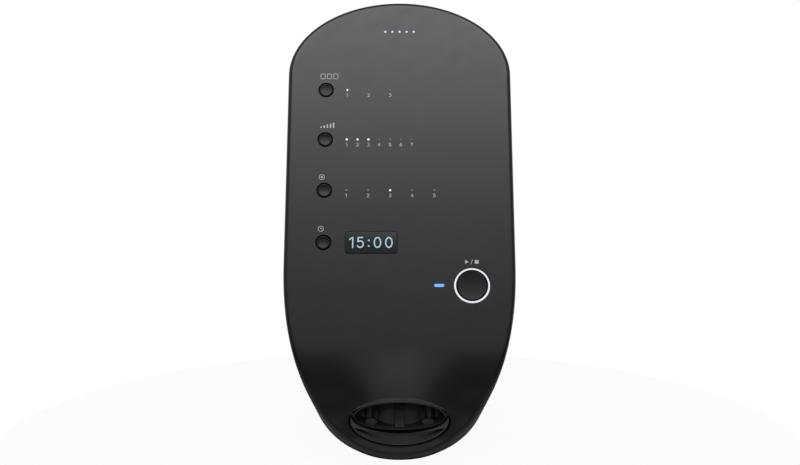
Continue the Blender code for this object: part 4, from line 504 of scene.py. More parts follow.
def apply_modifiers(made):
    graph = bpy.context.evaluated_depsgraph_get()
    result = bpy.data.meshes.new_from_object(made.evaluated_get(graph), depsgraph=graph)
    made.modifiers.clear()
    old, made.data = made.data, result
    bpy.data.meshes.remove(old)


def carve(made, *tools, matrix=None, operation="DIFFERENCE"):
    """Applies a Boolean with each tool, a bmesh or an object, and uses the tool up."""
    for tool in tools:
        if isinstance(tool, bmesh.types.BMesh):
            tool = add("tool", tool, matrix=matrix)
        modifier = made.modifiers.new("carve", "BOOLEAN")
        modifier.operation = operation
        modifier.solver = "EXACT"
        modifier.object = tool
        apply_modifiers(made)
        bpy.data.objects.remove(tool)


def round_hole(radius, across, up, wider=HOLE_EASE, deep=HOLE_EASE, steps=64):
    """The tool for a round hole through a wall, with its outer edge eased."""
    rim = radius + wider
    profile = ((0, CUT_HIGH), (rim, CUT_HIGH), (rim, 0.0), (radius, -deep), (radius, CUT_LOW), (0, CUT_LOW))
    return turned(profile, across, up, steps)


# The shells' surfaces


def smooth(share):
    share = min(max(share, 0.0), 1.0)
    return share * share * (3 - 2 * share)


def chin_share(up):
    whole = (CHIN_HIGH - CHIN_LOW) / 2
    if up >= CHIN_HIGH:
        return 0.0
    if up >= CHIN_STEEP:
        return (CHIN_HIGH - up) ** 2 / (2 * (CHIN_HIGH - CHIN_STEEP)) / whole
    if up >= CHIN_LOW:
        return 1 - (up - CHIN_LOW) ** 2 / (2 * (CHIN_STEEP - CHIN_LOW)) / whole
    return 1.0


def hood_share(across, up):
    beside = (abs(across) - HOOD_FLAT_HALF_WIDTH) / (HOOD_HALF_WIDTH - HOOD_FLAT_HALF_WIDTH)
    return (1 - smooth(beside)) * smooth((up - HOOD_FADE_LOW) / (HOOD_FADE_HIGH - HOOD_FADE_LOW))


def cover_surface(across, up):
    hood = hood_share(across, up)
    flare = smooth((HOOD_FLARE_HIGH - up) / (HOOD_FLARE_HIGH - PORT_LIP_HEIGHT))
    return -CHIN_SETBACK * chin_share(up) * (1 - hood) + HOOD_FLARE * hood * flare


def seam_level(up):
    return -COVER_SKIRT - CHIN_SETBACK * chin_share(up)


def outline_rows(steps):
    """Points of the outline's right half with their inward normals, closer where it turns and low down."""
    fine, samples = [], OUTLINE_SAMPLES
    for i in range(samples + 1):
        angle = RAD(90) * (i / samples - 1)
        x = HALF_WIDTH * math.cos(angle) ** (2 / BOTTOM_POWER_ACROSS)
        fine.append((x, BOTTOM_RISE * (1 - (-math.sin(angle)) ** (2 / BOTTOM_POWER_UP))))
    for i in range(samples + 1):
        angle = RAD(90) * i / samples
        fine.append((HALF_WIDTH * math.cos(angle), BOTTOM_RISE + SIDE_HEIGHT + TOP_RISE * math.sin(angle)))
    fine[0], fine[-1] = (0.0, 0.0), (0.0, FACE_HEIGHT)
    travelled, heading = [0.0], 0.0
    for (x0, y0), (x1, y1) in zip(fine, fine[1:]):
        detail = LOW_DETAIL if (y0 + y1) / 2 < LOW_END else 1.0
        turn = max(math.atan2(y1 - y0, x1 - x0) - heading, 0.0)
        heading += turn
        travelled.append(travelled[-1] + math.hypot(x1 - x0, y1 - y0) * detail + turn * TURN_LENGTH)
    rows, at = [], 0
    for step in range(steps + 1):
        goal = travelled[-1] * step / steps
        while at < len(travelled) - 2 and travelled[at + 1] < goal:
            at += 1
        (x0, y0), (x1, y1) = fine[at], fine[at + 1]
        length = travelled[at + 1] - travelled[at]
        share = (goal - travelled[at]) / length if length else 0.0
        along = Vector((x1 - x0, y1 - y0)).normalized()
        across, inward = x0 + (x1 - x0) * share, Vector((-along.y, along.x))
        if step in (0, steps):
            across, inward = 0.0, Vector((0, 1 if step == 0 else -1))
        rows.append((across, y0 + (y1 - y0) * share, inward))
    return rows


def spine_height(up):
    low = SPINE_LOW * max(0.0, 1 - up / (2 * SPINE_LOW)) ** 2
    above = FACE_HEIGHT - SPINE_DROP_START
    high = max(0.0, up - SPINE_DROP_START) / above
    return up + low - SPINE_DROP_SHARE * above * high**2


def row_point(row, inset, share):
    across, up, inward = row
    start = Vector((across, up)) + inward * inset
    return start.lerp(Vector((0.0, spine_height(up))), share)


def floor_depth(up):
    return (FACE_FOOT_HEIGHT - UNDERSIDE_HEIGHT + up * math.cos(LEAN)) / math.sin(LEAN)


def back_depth(up):
    point = FACE @ Vector((0, up, 0))
    normal = BACK.to_3x3() @ Vector((0, 0, 1))
    inward = FACE.to_3x3() @ Vector((0, 0, -1))
    return (BACK.translation - point).dot(normal) / inward.dot(normal)


def shell_depth(up):
    floor, back = floor_depth(up), back_depth(up)
    blend = max(HEEL_BLEND - abs(floor - back), 0) / HEEL_BLEND
    return min(floor, back) - blend * blend * HEEL_BLEND / 4


def rear_edge_radius(up):
    radius = FLOOR_EDGE_RADIUS + (BACK_EDGE_RADIUS - FLOOR_EDGE_RADIUS) * smooth(
        (up - FLOOR_EDGE_END) / (BACK_EDGE_START - FLOOR_EDGE_END)
    )
    return min(radius, (shell_depth(up) + seam_level(up)) / 2)


def shell_from_lines(lines, inward_sign):
    """A skin from one line of points per outline row, mirrored to the left side."""
    shape = bmesh.new()
    right = [[shape.verts.new(p) for p in line] for line in lines]
    left = [[shape.verts.new((-p[0], p[1], p[2])) for p in line] for line in lines]
    for side, flip in ((right, False), (left, True)):
        for lower, upper in zip(side, side[1:]):
            for i in range(len(lower) - 1):
                corners = [lower[i], upper[i], upper[i + 1], lower[i + 1]]
                shape.faces.new(corners[::-1] if flip else corners)
    bmesh.ops.remove_doubles(shape, verts=shape.verts, dist=0.004 * MM)
    shape.normal_update()
    if sum(f.normal.z * f.calc_area() for f in shape.faces) * inward_sign > 0:
        bmesh.ops.reverse_faces(shape, faces=shape.faces)
    return shape


def thick_shell(name, lines, inward_sign, finish):
    """An object with the wall's thickness inside a skin."""
    made = add(name, shell_from_lines(lines, inward_sign), finish)
    solid = made.modifiers.new("wall", "SOLIDIFY")
    solid.thickness = WALL
    solid.offset = -1
    solid.use_even_offset = True
    apply_modifiers(made)
    return made


SHELL_ROWS = outline_rows(132)
COVER_RINGS = [i / 34 for i in range(1, 35)]
COVER_ROUND_STEPS = 9


def cover_line(row):
    across, up, _ = row
    line = [(across, up, seam_level(up))]
    for step in range(COVER_ROUND_STEPS + 1):
        angle = RAD(90) * step / COVER_ROUND_STEPS
        point = row_point(row, COVER_EDGE_RADIUS * (1 - math.cos(angle)), 0.0)
        level = cover_surface(point.x, point.y) - COVER_EDGE_RADIUS * (1 - math.sin(angle))
        line.append((point.x, point.y, level))
    for share in COVER_RINGS:
        point = row_point(row, COVER_EDGE_RADIUS, share)
        line.append((point.x, point.y, cover_surface(point.x, point.y)))
    return line


def light_places(row):
    first, up, pitch, count, _ = LIGHT_ROWS[row]
    return [(first + index * pitch, up) for index in range(count)]


def port_oval(inset, level=None, steps=160):
    """The port's oval, flatter below its middle than above it, at a level or on the socket's tilted rim."""
    ring = []
    for i in range(steps):
        angle = 2 * math.pi * i / steps
        height = (BORE_HALF_HEIGHT if math.sin(angle) > 0 else BORE_LOWER_HEIGHT) - inset
        x, y = (BORE_HALF_WIDTH - inset) * math.cos(angle), height * math.sin(angle)
        ring.append((x, y, on_rim(y) if level is None else level))
    return ring


def on_rim(y):
    return -SOCKET_RIM_BACK - y * math.tan(SOCKET_RIM_TILT)


def mark_lip_highlight(mesh):
    """Gives the flat front of the port's lip a painted highlight, a lighter and glossier copy of the cover's
    plastic, and crisp edges of its own.
    """
    mesh.materials.append(LIP_PAINTED_HIGHLIGHT)
    to_port = PORT.inverted()
    turn = to_port.to_3x3()
    sides = {}
    for face in mesh.polygons:
        on_lip = abs((to_port @ face.center).z) < LIP_FLATNESS and (turn @ face.normal).z > 0.99
        if on_lip:
            face.material_index = 1
        for key in face.edge_keys:
            sides.setdefault(key, set()).add(on_lip)
    for edge in mesh.edges:
        if len(sides.get(edge.key, ())) == 2:
            edge.use_edge_sharp = True


def make_front_cover():
    cover = thick_shell("front_cover_skin", [cover_line(row) for row in SHELL_ROWS], -1, COVER)
    holes = [round_hole(BUTTON_RADIUS + BUTTON_GROOVE, BUTTON_COLUMN, up) for up in BUTTON_PLACES.values()]
    holes.append(round_hole(RING_RADIUS + RING_GAP, START_ACROSS, START_UP, steps=96))
    window = (DISPLAY_ACROSS, DISPLAY_UP, WINDOW_WIDTH + GAP, WINDOW_HEIGHT + GAP, WINDOW_CORNER + GAP / 2)
    for opening in (window, (STATUS_ACROSS, START_UP, *STATUS_HOLE)):
        holes.append(prism(rounded_rectangle(*opening), CUT_LOW, CUT_HIGH))
    for row in LIGHT_ROWS:
        for across, up in light_places(row):
            holes.append(disc(LIGHT_HOLE_RADIUS, CUT_HIGH, CUT_LOW, across, up, 24))
    carve(cover, merge(*holes))

    to_port = FACE.inverted() @ PORT
    ease = BORE_EASE
    levels = ((0.0, -PORT_REACH), (0.0, -ease), (0.3 * ease, -0.4 * ease), (ease, 0.0), (ease, PORT_REACH))
    carve(cover, rings_mesh([port_oval(-grown, level) for grown, level in levels]), matrix=to_port)
    half_width = BORE_HALF_WIDTH + PORT_LIP_SIDE_WALL
    half_height = BORE_HALF_HEIGHT + PORT_LIP_WALL
    shares = [math.cos(RAD(2 * i)) for i in range(91)]
    outline = [(half_width * share, half_height * (1 - share**2) ** LIP_ARC_POWER) for share in shares]
    carve(cover, prism(outline, 0.0, PORT_REACH), matrix=to_port)
    settle(cover, FACE)
    mark_lip_highlight(cover.data)
    dress(cover, "front_cover")


REAR_RINGS = [i / 22 for i in range(1, 23)]
REAR_ROUND_STEPS = 14


def rear_line(row):
    across, up, _ = row
    radius = rear_edge_radius(up)
    start = seam_level(up) - GAP
    line = [(across, up, start)]
    side_end = -shell_depth(up) + radius
    for share in (0.02, 0.25, 0.5, 0.75):
        line.append((across, up, start + (side_end - start) * share))
    for step in range(REAR_ROUND_STEPS + 1):
        angle = RAD(90) * step / REAR_ROUND_STEPS
        point = row_point(row, radius * (1 - math.cos(angle)), 0.0)
        line.append((point.x, point.y, -shell_depth(point.y) + radius * (1 - math.sin(angle))))
    for share in REAR_RINGS:
        point = row_point(row, radius, share)
        line.append((point.x, point.y, -shell_depth(point.y)))
    return line


def make_rear_housing():
    housing = thick_shell("rear_housing_skin", [rear_line(row) for row in SHELL_ROWS], 1, HOUSING)
    housing.data.transform(FACE)
    door = (0, PACK_CENTRE_UP, DOOR_WIDTH + DOOR_PLAY, DOOR_HEIGHT + DOOR_PLAY, DOOR_RIM)
    holes = [prism(rounded_rectangle(*door), CUT_LOW, CUT_HIGH)]
    for across, radius in ((INLET_ACROSS, INLET_HOLE_RADIUS), (POWER_ACROSS, POWER_HOLE_RADIUS)):
        holes.append(round_hole(radius, across, SERVICE_UP, 1 * MM, 0.5 * MM))
    for row in range(VENT_ROWS):
        up = VENT_FIRST_UP + VENT_PITCH * row
        for side in (-1, 1):
            vent = rounded_rectangle(side * VENT_ACROSS, up, *VENT_SIZE, steps=4)
            holes.append(prism(vent, -VENT_DEPTH, CUT_HIGH))
    carve(housing, merge(*holes), matrix=BACK)
    low, high = 0.5 * MM, UNDERSIDE_HEIGHT + 0.7 * MM
    profile = ((0, low), (7.2 * MM, low), (7 * MM, high), (0, high))
    wells = [turned(profile, *place, 48) for place in FOOT_PLACES.values()]
    wells += [disc(2.6 * MM, low, 4 * MM, *place, 32) for place in UNDERSIDE_SCREWS]
    carve(housing, merge(*wells))
    shade(housing.data)
    dress(housing, "rear_housing")


# Controls on the face


def dish(radius, depth, rise, steps):
    """Profile of a fingertip dish, from its middle to its edge."""
    return [(radius * i / steps, depth + rise * (i / steps) ** 2) for i in range(steps + 1)]


def stem(radius, flange_radius, flange, end):
    """The hidden end of a button's profile: its side, the flange behind the wall and the stem."""
    back = flange - FLANGE_THICKNESS
    wide = [(radius, flange), (flange_radius, flange), (flange_radius, back)]
    return wide + [(STEM_RADIUS, back), (STEM_RADIUS, end), (0, end)]


def make_small_buttons():
    """Round caps with a fingertip dish inside a thin rim, each in a dark round groove."""
    r = BUTTON_RADIUS
    rim = contour(r, (-0.48, -0.07), (-0.36, 0), (-0.12, -0.02), (0, -0.2))
    profile = dish(0.8 * r, -0.7 * MM, 0.22 * MM, 8) + rim + stem(r, BUTTON_FLANGE, FLANGE_LEVEL, STEM_END)
    for name, up in BUTTON_PLACES.items():
        cap = turned(profile, BUTTON_COLUMN, up)
        piece(name + "_cap", cap, FACE, BUTTON, name, name + "_body", 30)


def make_start_button():
    """A light ring, a dark sleeve that keeps its inner wall from glowing, and the dished cap inside."""
    place = (START_ACROSS, START_UP)
    back = FLANGE_LEVEL - FLANGE_THICKNESS
    outer, inner = RING_RADIUS, RING_RADIUS - RING_WIDTH
    middle = inner + RING_SLEEVE
    ring = [(middle, -0.06 * MM), ((middle + outer) / 2, 0.0), *contour(outer, (-0.12, -0.06), (0, -0.2))]
    ring += [(outer, FLANGE_LEVEL), (RING_FLANGE, FLANGE_LEVEL), (RING_FLANGE, back), (middle, back)]
    piece("start_ring_glow", hoop(ring, *place), FACE, RING_GLOW, "start_ring_lens")
    sleeve = [(inner, -0.12 * MM), (middle, -0.02 * MM), (middle, back), (inner, back)]
    piece("start_ring_sleeve", hoop(sleeve, *place), FACE, BUTTON)
    r = inner - START_CAP_GAP
    rim = contour(r, (-0.25, -0.1), (-0.1, -0.16), (0, -0.35))
    hidden = stem(r, START_FLANGE, FLANGE_LEVEL - START_FLANGE_DROP, STEM_END)
    cap = turned(dish(0.93 * r, -0.5 * MM, 0.36 * MM, 12) + rim + hidden, *place, 96)
    name = "start_stop_button"
    piece("start_stop_cap", cap, FACE, BUTTON, name, name + "_body", 30)


def make_lights():
    """A small lens at the end of each light pipe, lit or unlit, and the status bar with a painted glow around
    it on the face.
    """
    r = LIGHT_RADIUS
    profile = [(0, 0.02 * MM), (r * 0.6, 0.0), (r * 0.95, -0.06 * MM)]
    profile += [(r, -0.12 * MM), (r, -0.5 * MM), (0, -0.5 * MM)]
    for row, (_, _, _, _, lit) in LIGHT_ROWS.items():
        lenses = {True: [], False: []}
        for index, place in enumerate(light_places(row)):
            lenses[index in lit].append(turned(profile, *place, 20))
        glow = LENS_BLUE if row == "battery" else LENS_WHITE
        piece(f"{row}_lights_on", merge(*lenses[True]), FACE, glow)
        if lenses[False]:
            piece(f"{row}_lights_off", merge(*lenses[False]), FACE, LENS_DARK)
    place = (STATUS_ACROSS, START_UP)
    bar = eased_plate(*place, *STATUS_BAR, -0.6 * MM, 0.04 * MM, 0.05 * MM)
    piece("status_light_on", bar, FACE, STATUS_GLOW)
    # painted glow: a thin emitting sheet on the face around the bar's hole
    edge = prism(rounded_rectangle(*place, *STATUS_GLOW_SPREAD), -0.02 * MM, 0.01 * MM)
    piece("status_light_painted_glow", edge, FACE, STATUS_PAINTED_GLOW)


def make_window():
    """Tinted window with its flange, standing for the solid one."""
    place, seat = (DISPLAY_ACROSS, DISPLAY_UP), FLANGE_LEVEL - WINDOW_SEAT
    pane = eased_plate(*place, WINDOW_WIDTH, WINDOW_HEIGHT, WINDOW_CORNER, seat, -0.12 * MM, 0.15 * MM)
    wide, tall = WINDOW_WIDTH + 2 * WINDOW_RIM, WINDOW_HEIGHT + 2 * WINDOW_RIM
    rim = prism(rounded_rectangle(*place, wide, tall, WINDOW_CORNER), FLANGE_LEVEL - FLANGE_THICKNESS, seat)
    piece("display_window_pane", merge(pane, rim), FACE, WINDOW, "display_window")


def stroke(points, width, closed):
    """The two sides of a band along a line, mitred at its corners."""
    pts = [Vector(p) for p in points]
    count = len(pts)
    left, right = [], []
    for i, p in enumerate(pts):
        before = pts[i - 1] if closed or i else p
        after = pts[(i + 1) % count] if closed or i < count - 1 else p
        d0, d1 = (p - before), (after - p)
        d0 = d0.normalized() if d0.length else d1.normalized()
        d1 = d1.normalized() if d1.length else d0
        way = (d0 + d1).normalized()
        turn = max(way.dot(d1), 0.5)
        side = Vector((-way.y, way.x)) * width / 2 / turn
        left.append(p + side)
        right.append(p - side)
    return left, right


def loop(points):
    return points + points[:1]


def band(points, width, low, high):
    """A thin raised band along a line, as a closed solid. A line that ends on its first point runs round."""
    closed = points[0] == points[-1]
    left, right = stroke(points[:-1] if closed else points, width, closed)
    return rings_mesh([[(*l, low), (*l, high), (*r, high), (*r, low)] for l, r in zip(left, right)], closed)


def figure(value, cx, cy, height, weight, low, high, width_share=0.31):
    """One numeral or colon, drawn from plain strokes in shares of its half height and of its width."""
    h, w = (height - weight) / 2, height * width_share
    end = 1 + weight / 2 / h

    def at(*points):
        return [(cx + x * w, cy + y * h) for x, y in points]

    def bow(x, y, rx, ry, *turn):
        return ellipse(cx + x * w, cy + y * h, rx * w, ry * h, *turn)

    strokes = {
        "0": [loop(bow(0, 0, 1, 1, 40))],
        "1": [at((0.35, -end), (0.35, end)), at((0.3, 1), (-0.75, 0.56))],
        "2": [bow(0, 0.42, 0.9, 0.58, 20, -15, 165)[::-1] + at((-0.95, -1)), at((-1.1, -1), (1.05, -1))],
        "3": [bow(0, 0.5, 0.85, 0.5, 20, -80, 160), bow(0, -0.47, 0.95, 0.53, 20, -160, 82)],
        "4": [at((0.4, -end), (0.4, 1), (-1.05, -0.35)), at((-1.1, -0.42), (1.1, -0.42))],
        "5": [at((0.85, 1), (-0.62, 1), (-0.78, 0.08)), bow(-0.03, -0.34, 0.98, 0.66, 26, -158, 138)],
        "6": [loop(bow(0, -0.38, 0.95, 0.6, 32)), at((0.75, 0.95), (-0.2, 0.75), (-0.85, -0.1))],
        "7": [at((-1, 1), (0.95, 1), (-0.25, -end))],
    }
    if value in strokes:
        return [band(points, weight, low, high) for points in strokes[value]]
    side = 2 * COLON_SHARE * weight
    dots = [rounded_rectangle(cx, cy + y * h, side, side, 0.15 * side, 3) for y in (0.42, -0.72)]
    return [prism(dot, low, high) for dot in dots]


def make_digits():
    shapes = []
    for value, across in DIGITS:
        place = (across * MM, DISPLAY_UP + 0.05 * MM)
        shapes += figure(value, *place, DIGIT_HEIGHT, DIGIT_WEIGHT, -0.14 * MM, -0.1 * MM, DIGIT_WIDTH_SHARE)
    piece("display_digits", merge(*shapes), FACE, DIGIT_GLOW)


def make_print():
    """Plain numbers below the lights and small signs over the buttons, printed on the face."""
    low, high = -0.01 * MM, 0.015 * MM
    shapes = []

    def line(points):
        shapes.append(band(points, SIGN_WEIGHT, low, high))

    def fill(outline):
        shapes.append(prism(outline, low, high))

    for row in ("attachment", "pressure", "zone"):
        for index, (across, up) in enumerate(light_places(row)):
            shapes += figure(str(index + 1), across, up - 2.7 * MM, 1.75 * MM, 0.25 * MM, low, high)
    x = BUTTON_COLUMN - 2.6 * MM
    up = BUTTON_PLACES["attachment_button"] + 7.2 * MM
    for index in range(3):
        line(loop(rounded_rectangle(x + (1 + 3.1 * index) * MM, up, 2.1 * MM, 2.6 * MM, 0.5 * MM, 4)))
    base = BUTTON_PLACES["pressure_button"] + 5.9 * MM
    for index in range(5):
        height = (0.8 + 0.5 * index) * MM
        across = x + (0.5 + 1.5 * index) * MM
        fill(rounded_rectangle(across, base + height / 2, 0.7 * MM, height, 0.15 * MM, 3))
    x += 1.3 * MM
    for name in ("zone_button", "time_button"):
        up = BUTTON_PLACES[name] + 6.6 * MM
        line(loop(ellipse(x, up, 1.25 * MM, 1.25 * MM)))
        if name == "zone_button":
            shapes.append(disc(0.5 * MM, high, low, x, up, 20))
        else:
            line([(x, up + 0.8 * MM), (x, up), (x + 0.6 * MM, up)])
    x, up = START_ACROSS, START_UP + 11.3 * MM
    fill([(x - 3.1 * MM, up - 1 * MM), (x - 3.1 * MM, up + 1 * MM), (x - 1.4 * MM, up)])
    fill(rounded_rectangle(x + 2.3 * MM, up, 1.8 * MM, 1.8 * MM, 0.12 * MM, 3))
    line([(x - 0.45 * MM, up - 1.15 * MM), (x + 0.4 * MM, up + 1.15 * MM)])
    piece("face_print", merge(*shapes), FACE, PRINT)


# Hose port


def from_face(shape):
    """Takes a shape from the face's frame into the port's."""
    shape.transform(PORT.inverted() @ FACE)
    return shape


def oval_block(inset, back, front=None):
    """The port's oval between two levels, or up to the socket's tilted rim."""
    return rings_mesh([port_oval(inset, back), port_oval(inset, front)])


def in_front_of_rim():
    """Everything in front of a plane just behind the socket's tilted rim."""
    tool = block((-PORT_REACH, -SOCKET_DEPTH, 0), (PORT_REACH, 2 * PORT_REACH - SOCKET_DEPTH, 2 * PORT_REACH))
    tilt = Matrix.Rotation(-SOCKET_RIM_TILT, 4, "X")
    tool.transform(Matrix.Translation((0, 0, -SOCKET_RIM_BACK - GAP)) @ tilt)
    return tool


def way_in(inset):
    """Everything above the slanting way in of the hose, from the lower half of the socket's rim forward."""
    reach = PORT_REACH
    outline = sorted((x, y) for x, y, _ in port_oval(inset, 0.0) if y < 1e-6)
    outline += [(reach, GAP), (reach, reach), (-reach, reach), (-reach, GAP)]
    way = Vector((0, math.sin(SOCKET_MOUTH_RISE), math.cos(SOCKET_MOUTH_RISE)))
    rim = [Vector((x, y, on_rim(y))) for x, y in outline]
    return rings_mesh([[p - way * GAP for p in rim], [p + way * reach for p in rim]])


def scoop_space():
    """The crescent below the rim: its floor rises a little from the chin's edge back to the rim."""
    rings = []
    levels = ((-SOCKET_RIM_BACK, 0.15 * MM), mm(1.2, 0), mm(9.5, -0.25), (PORT_REACH, -0.25 * MM))
    for z, floor in levels:
        half_width, depth = SCOOP_HALF_WIDTH - floor, SCOOP_DEPTH - floor
        first = math.asin(SCOOP_CORNER_DROP / depth)
        ring = []
        for i in range(SCOOP_STEPS + 1):
            angle = first + (math.pi - 2 * first) * i / SCOOP_STEPS
            ring.append((half_width * math.cos(angle), -depth * math.sin(angle), z))
        for i in range(1, SCOOP_STEPS):
            share = 2 * i / SCOOP_STEPS - 1
            drop = SCOOP_MIDDLE_DROP + (SCOOP_CORNER_DROP - SCOOP_MIDDLE_DROP) * share**2
            ring.append((half_width * math.cos(first) * share, -drop, z))
        rings.append(ring)
    return rings_mesh(rings)


def painted_shadow_strip():
    """A near-black strip along the foot of the rim, on the scoop's floor, that thins out toward its ends:
    painted shadow where the rim shades the scoop.
    """
    first = math.asin(SCOOP_CORNER_DROP / SCOOP_DEPTH) + RAD(3)
    back = 0.05 * MM - SOCKET_RIM_BACK
    rings = []
    for i in range(SCOOP_STEPS + 1):
        angle = first + (math.pi - 2 * first) * i / SCOOP_STEPS
        front = back + PAINTED_SHADOW_WIDTH * (1 - (2 * i / SCOOP_STEPS - 1) ** 2) + 0.1 * MM
        ring = []
        for inset, z in ((-0.2, back), (0.2, back), (0.12, front), (-0.2, front)):
            across, down = SCOOP_HALF_WIDTH - inset * MM, SCOOP_DEPTH - inset * MM
            ring.append((across * math.cos(angle), -down * math.sin(angle), z))
        rings.append(ring)
    return rings_mesh(rings)


def make_socket():
    """The port's outer sleeve: its tilted rim, the hose's way in and the crescent scoop below."""
    reach, inset = PORT_REACH, GAP + SOCKET_WALL
    # the socket's lighter colour is painted light for the scoop below the rim
    socket = add("port_socket_skin", oval_block(GAP, -SOCKET_DEPTH, reach), SCOOP_PAINTED_LIGHT)
    lower_front = from_face(block((-reach, -reach, -CHIN_SETBACK - 0.1 * MM), (reach, FACE_HEIGHT, reach)))
    carve(socket, lower_front, way_in(inset), scoop_space(), oval_block(inset, -SOCKET_DEPTH - 1 * MM))
    settle(socket, PORT)
    dress(socket, "port_socket")
    # the near-black strip under the rim is painted shadow
    piece("port_painted_shadow", painted_shadow_strip(), PORT, PAINTED_SHADOW_MATT)


def contact_wall():
    """The wall with the contacts, cut out of the port's hollow: a shallow trough each side of the rib."""
    reach = PORT_REACH
    wall = add("port_contact", block((-reach, -reach, -reach), (reach, CONTACT_TOP, reach)))
    tools = [from_face(block((-2 * reach, -2 * reach, CONTACT_LEVEL), (2 * reach, 2 * reach, reach)))]
    for side in (-1, 1):
        # each trough falls away toward the slot beside it
        points = [(side * TROUGH_START, TROUGH_HIGH), (side * TROUGH_START, TROUGH_EDGE)]
        for i in range(13):
            drop = 1.7 * MM * max(0.0, i / 12 - 0.15) ** 2.2
            points.append((side * (TROUGH_START + TROUGH_WIDTH * i / 12), TROUGH_EDGE - drop))
        points.append((side * (TROUGH_START + TROUGH_WIDTH), TROUGH_HIGH))
        ends = (CONTACT_FOOT + 0.7 * MM, CONTACT_END + 8 * MM)
        tools.append(from_face(rings_mesh([[(x, up, CONTACT_LEVEL + h) for x, h in points] for up in ends])))
    carve(wall, *tools)
    return wall


def make_insert():
    """The port's inside: contact wall with rib, lugs and slots."""
    reach, inset = PORT_REACH, GAP + SOCKET_WALL + GAP
    insert = add("port_insert_skin", oval_block(inset, -SOCKET_DEPTH, 2 * MM), PORT_INNER_PAINTED_LIGHT)
    hollow = add("port_hollow", oval_block(inset + INSERT_WALL, INSERT_BACK - SOCKET_DEPTH, 4 * MM))
    carve(hollow, contact_wall())
    r = LUG_HEAD_RADIUS
    levels = contour(r, (0, -2), (0, 1.5), (-0.16, 2), (-0.55, 2.36), (-1.2, 2.5))
    for side in (-1, 1):
        lug = turned([(0, 0), *contour(LUG_RADIUS, (0, 0), (0, 8.1), (-0.27, 8.3)), (0, 8.3 * MM)], steps=32)
        lug.transform(Matrix.Rotation(RAD(-90), 4, "X"))
        head = rings_mesh([circle(radius, level, steps=40, squash=0.66) for radius, level in levels])
        for shape, across in ((lug, LUG_ACROSS), (head, LUG_HEAD_ACROSS)):
            shape.transform(Matrix.Translation((side * across, LUG_UP, CONTACT_LEVEL)))
            carve(hollow, from_face(shape))
    carve(insert, hollow, in_front_of_rim())
    low = (-RIB_HALF_WIDTH, CONTACT_FOOT - 3 * MM, CONTACT_LEVEL - 2 * MM)
    high = (RIB_HALF_WIDTH, CONTACT_END - GAP, CONTACT_LEVEL + 1.2 * MM)
    rib = add("port_rib", from_face(block(low, high, 0.3 * MM)))
    rib_foot = inset - BORE_LOWER_HEIGHT + 0.15 * MM
    carve(rib, block((-reach, -2 * reach, -reach), (reach, rib_foot, reach)))
    carve(insert, rib, operation="UNION")
    for side in (-1, 1):
        x0, x1 = sorted((side * SLOT_START, side * SLOT_END))
        low, high = (x0, 18.8 * MM, CONTACT_LEVEL - 2.6 * MM), (x1, CONTACT_END + 4 * MM, CONTACT_LEVEL + GAP)
        carve(insert, from_face(block(low, high)))
    settle(insert, PORT)
    dress(insert, "port_insert")
    ends = (-SOCKET_DEPTH - 5 * MM, -SOCKET_DEPTH)
    nipples = [disc(1.6 * MM, *ends, (index - 1.5) * 10 * MM, 0, 24) for index in range(4)]
    piece("port_nipples", merge(*nipples), PORT, PORT_INNER_PAINTED_LIGHT)


# Back and underside


def make_door():
    """The battery door with its finger grooves and its screws in their wells."""
    plain = eased_plate(0, PACK_CENTRE_UP, DOOR_WIDTH, DOOR_HEIGHT, DOOR_RIM, -1.6 * MM, 0.0, 0.4 * MM)
    door = add("battery_door_skin", plain, HOUSING)
    cuts = []
    for index in range(5):
        up = PACK_CENTRE_UP + DOOR_HEIGHT / 2 - (7 + 2 * index) * MM
        groove = rounded_rectangle(0, up, (20 - 1.6 * index) * MM, 0.9 * MM, 0.44 * MM, 4)
        cuts.append(prism(groove, -0.6 * MM, 0.5 * MM))
    cuts += [disc(2.4 * MM, 0.5 * MM, -0.9 * MM, *place, 40) for place in DOOR_SCREWS]
    carve(door, merge(*cuts))
    settle(door, BACK)
    dress(door, "battery_door")
    profile = contour(0, (0, -0.75), (0.35, -0.45), (1.5, -0.25), (2, -0.5), (2, -0.92), (0, -0.92))
    screws = merge(*[turned(profile, *place, 32) for place in DOOR_SCREWS])
    piece("battery_door_screws", screws, BACK, STEEL)


def make_power_button():
    """The button at the back, with its sign printed above it."""
    r = POWER_RADIUS
    rim = contour(r, (-0.35, 0.42), (-0.1, 0.28), (0, 0))
    profile = dish(0.86 * r, 0.1 * MM, 0.3 * MM, 8) + rim + stem(r, POWER_FLANGE, POWER_LEVEL, POWER_STEM_END)
    cap = turned(profile, POWER_ACROSS, SERVICE_UP)
    piece("power_button_cap", cap, BACK, BUTTON, "power_button", "power_button_body", 30)
    bow = ellipse(POWER_ACROSS, SERVICE_UP + 8.6 * MM, 1.1 * MM, 1.1 * MM, 30, 120, 420)
    bar = [(POWER_ACROSS, SERVICE_UP + 8.7 * MM), (POWER_ACROSS, SERVICE_UP + 10.1 * MM)]
    marks = [band(points, 0.28 * MM, -0.02 * MM, 0.02 * MM) for points in (bow, bar)]
    piece("back_print", merge(*marks), BACK, PRINT)


def make_feet():
    r, top = FOOT_RADIUS, UNDERSIDE_HEIGHT + 0.4 * MM
    tread = contour(r, (-1.4, 0), (-1.1, 0), (-0.5, 0.12), (-0.1, 0.45), (0, 0.8))
    profile = [(0, 0.0), *tread, (r, top), (0, top)]
    for name, place in FOOT_PLACES.items():
        pad = turned(profile, *place, 48)
        piece(name + "_pad", pad, WORLD, RUBBER, name, angle=50)


# Stage, light and camera


def bare_tree(made):
    made.use_nodes = True
    made.node_tree.nodes.clear()
    return made.node_tree


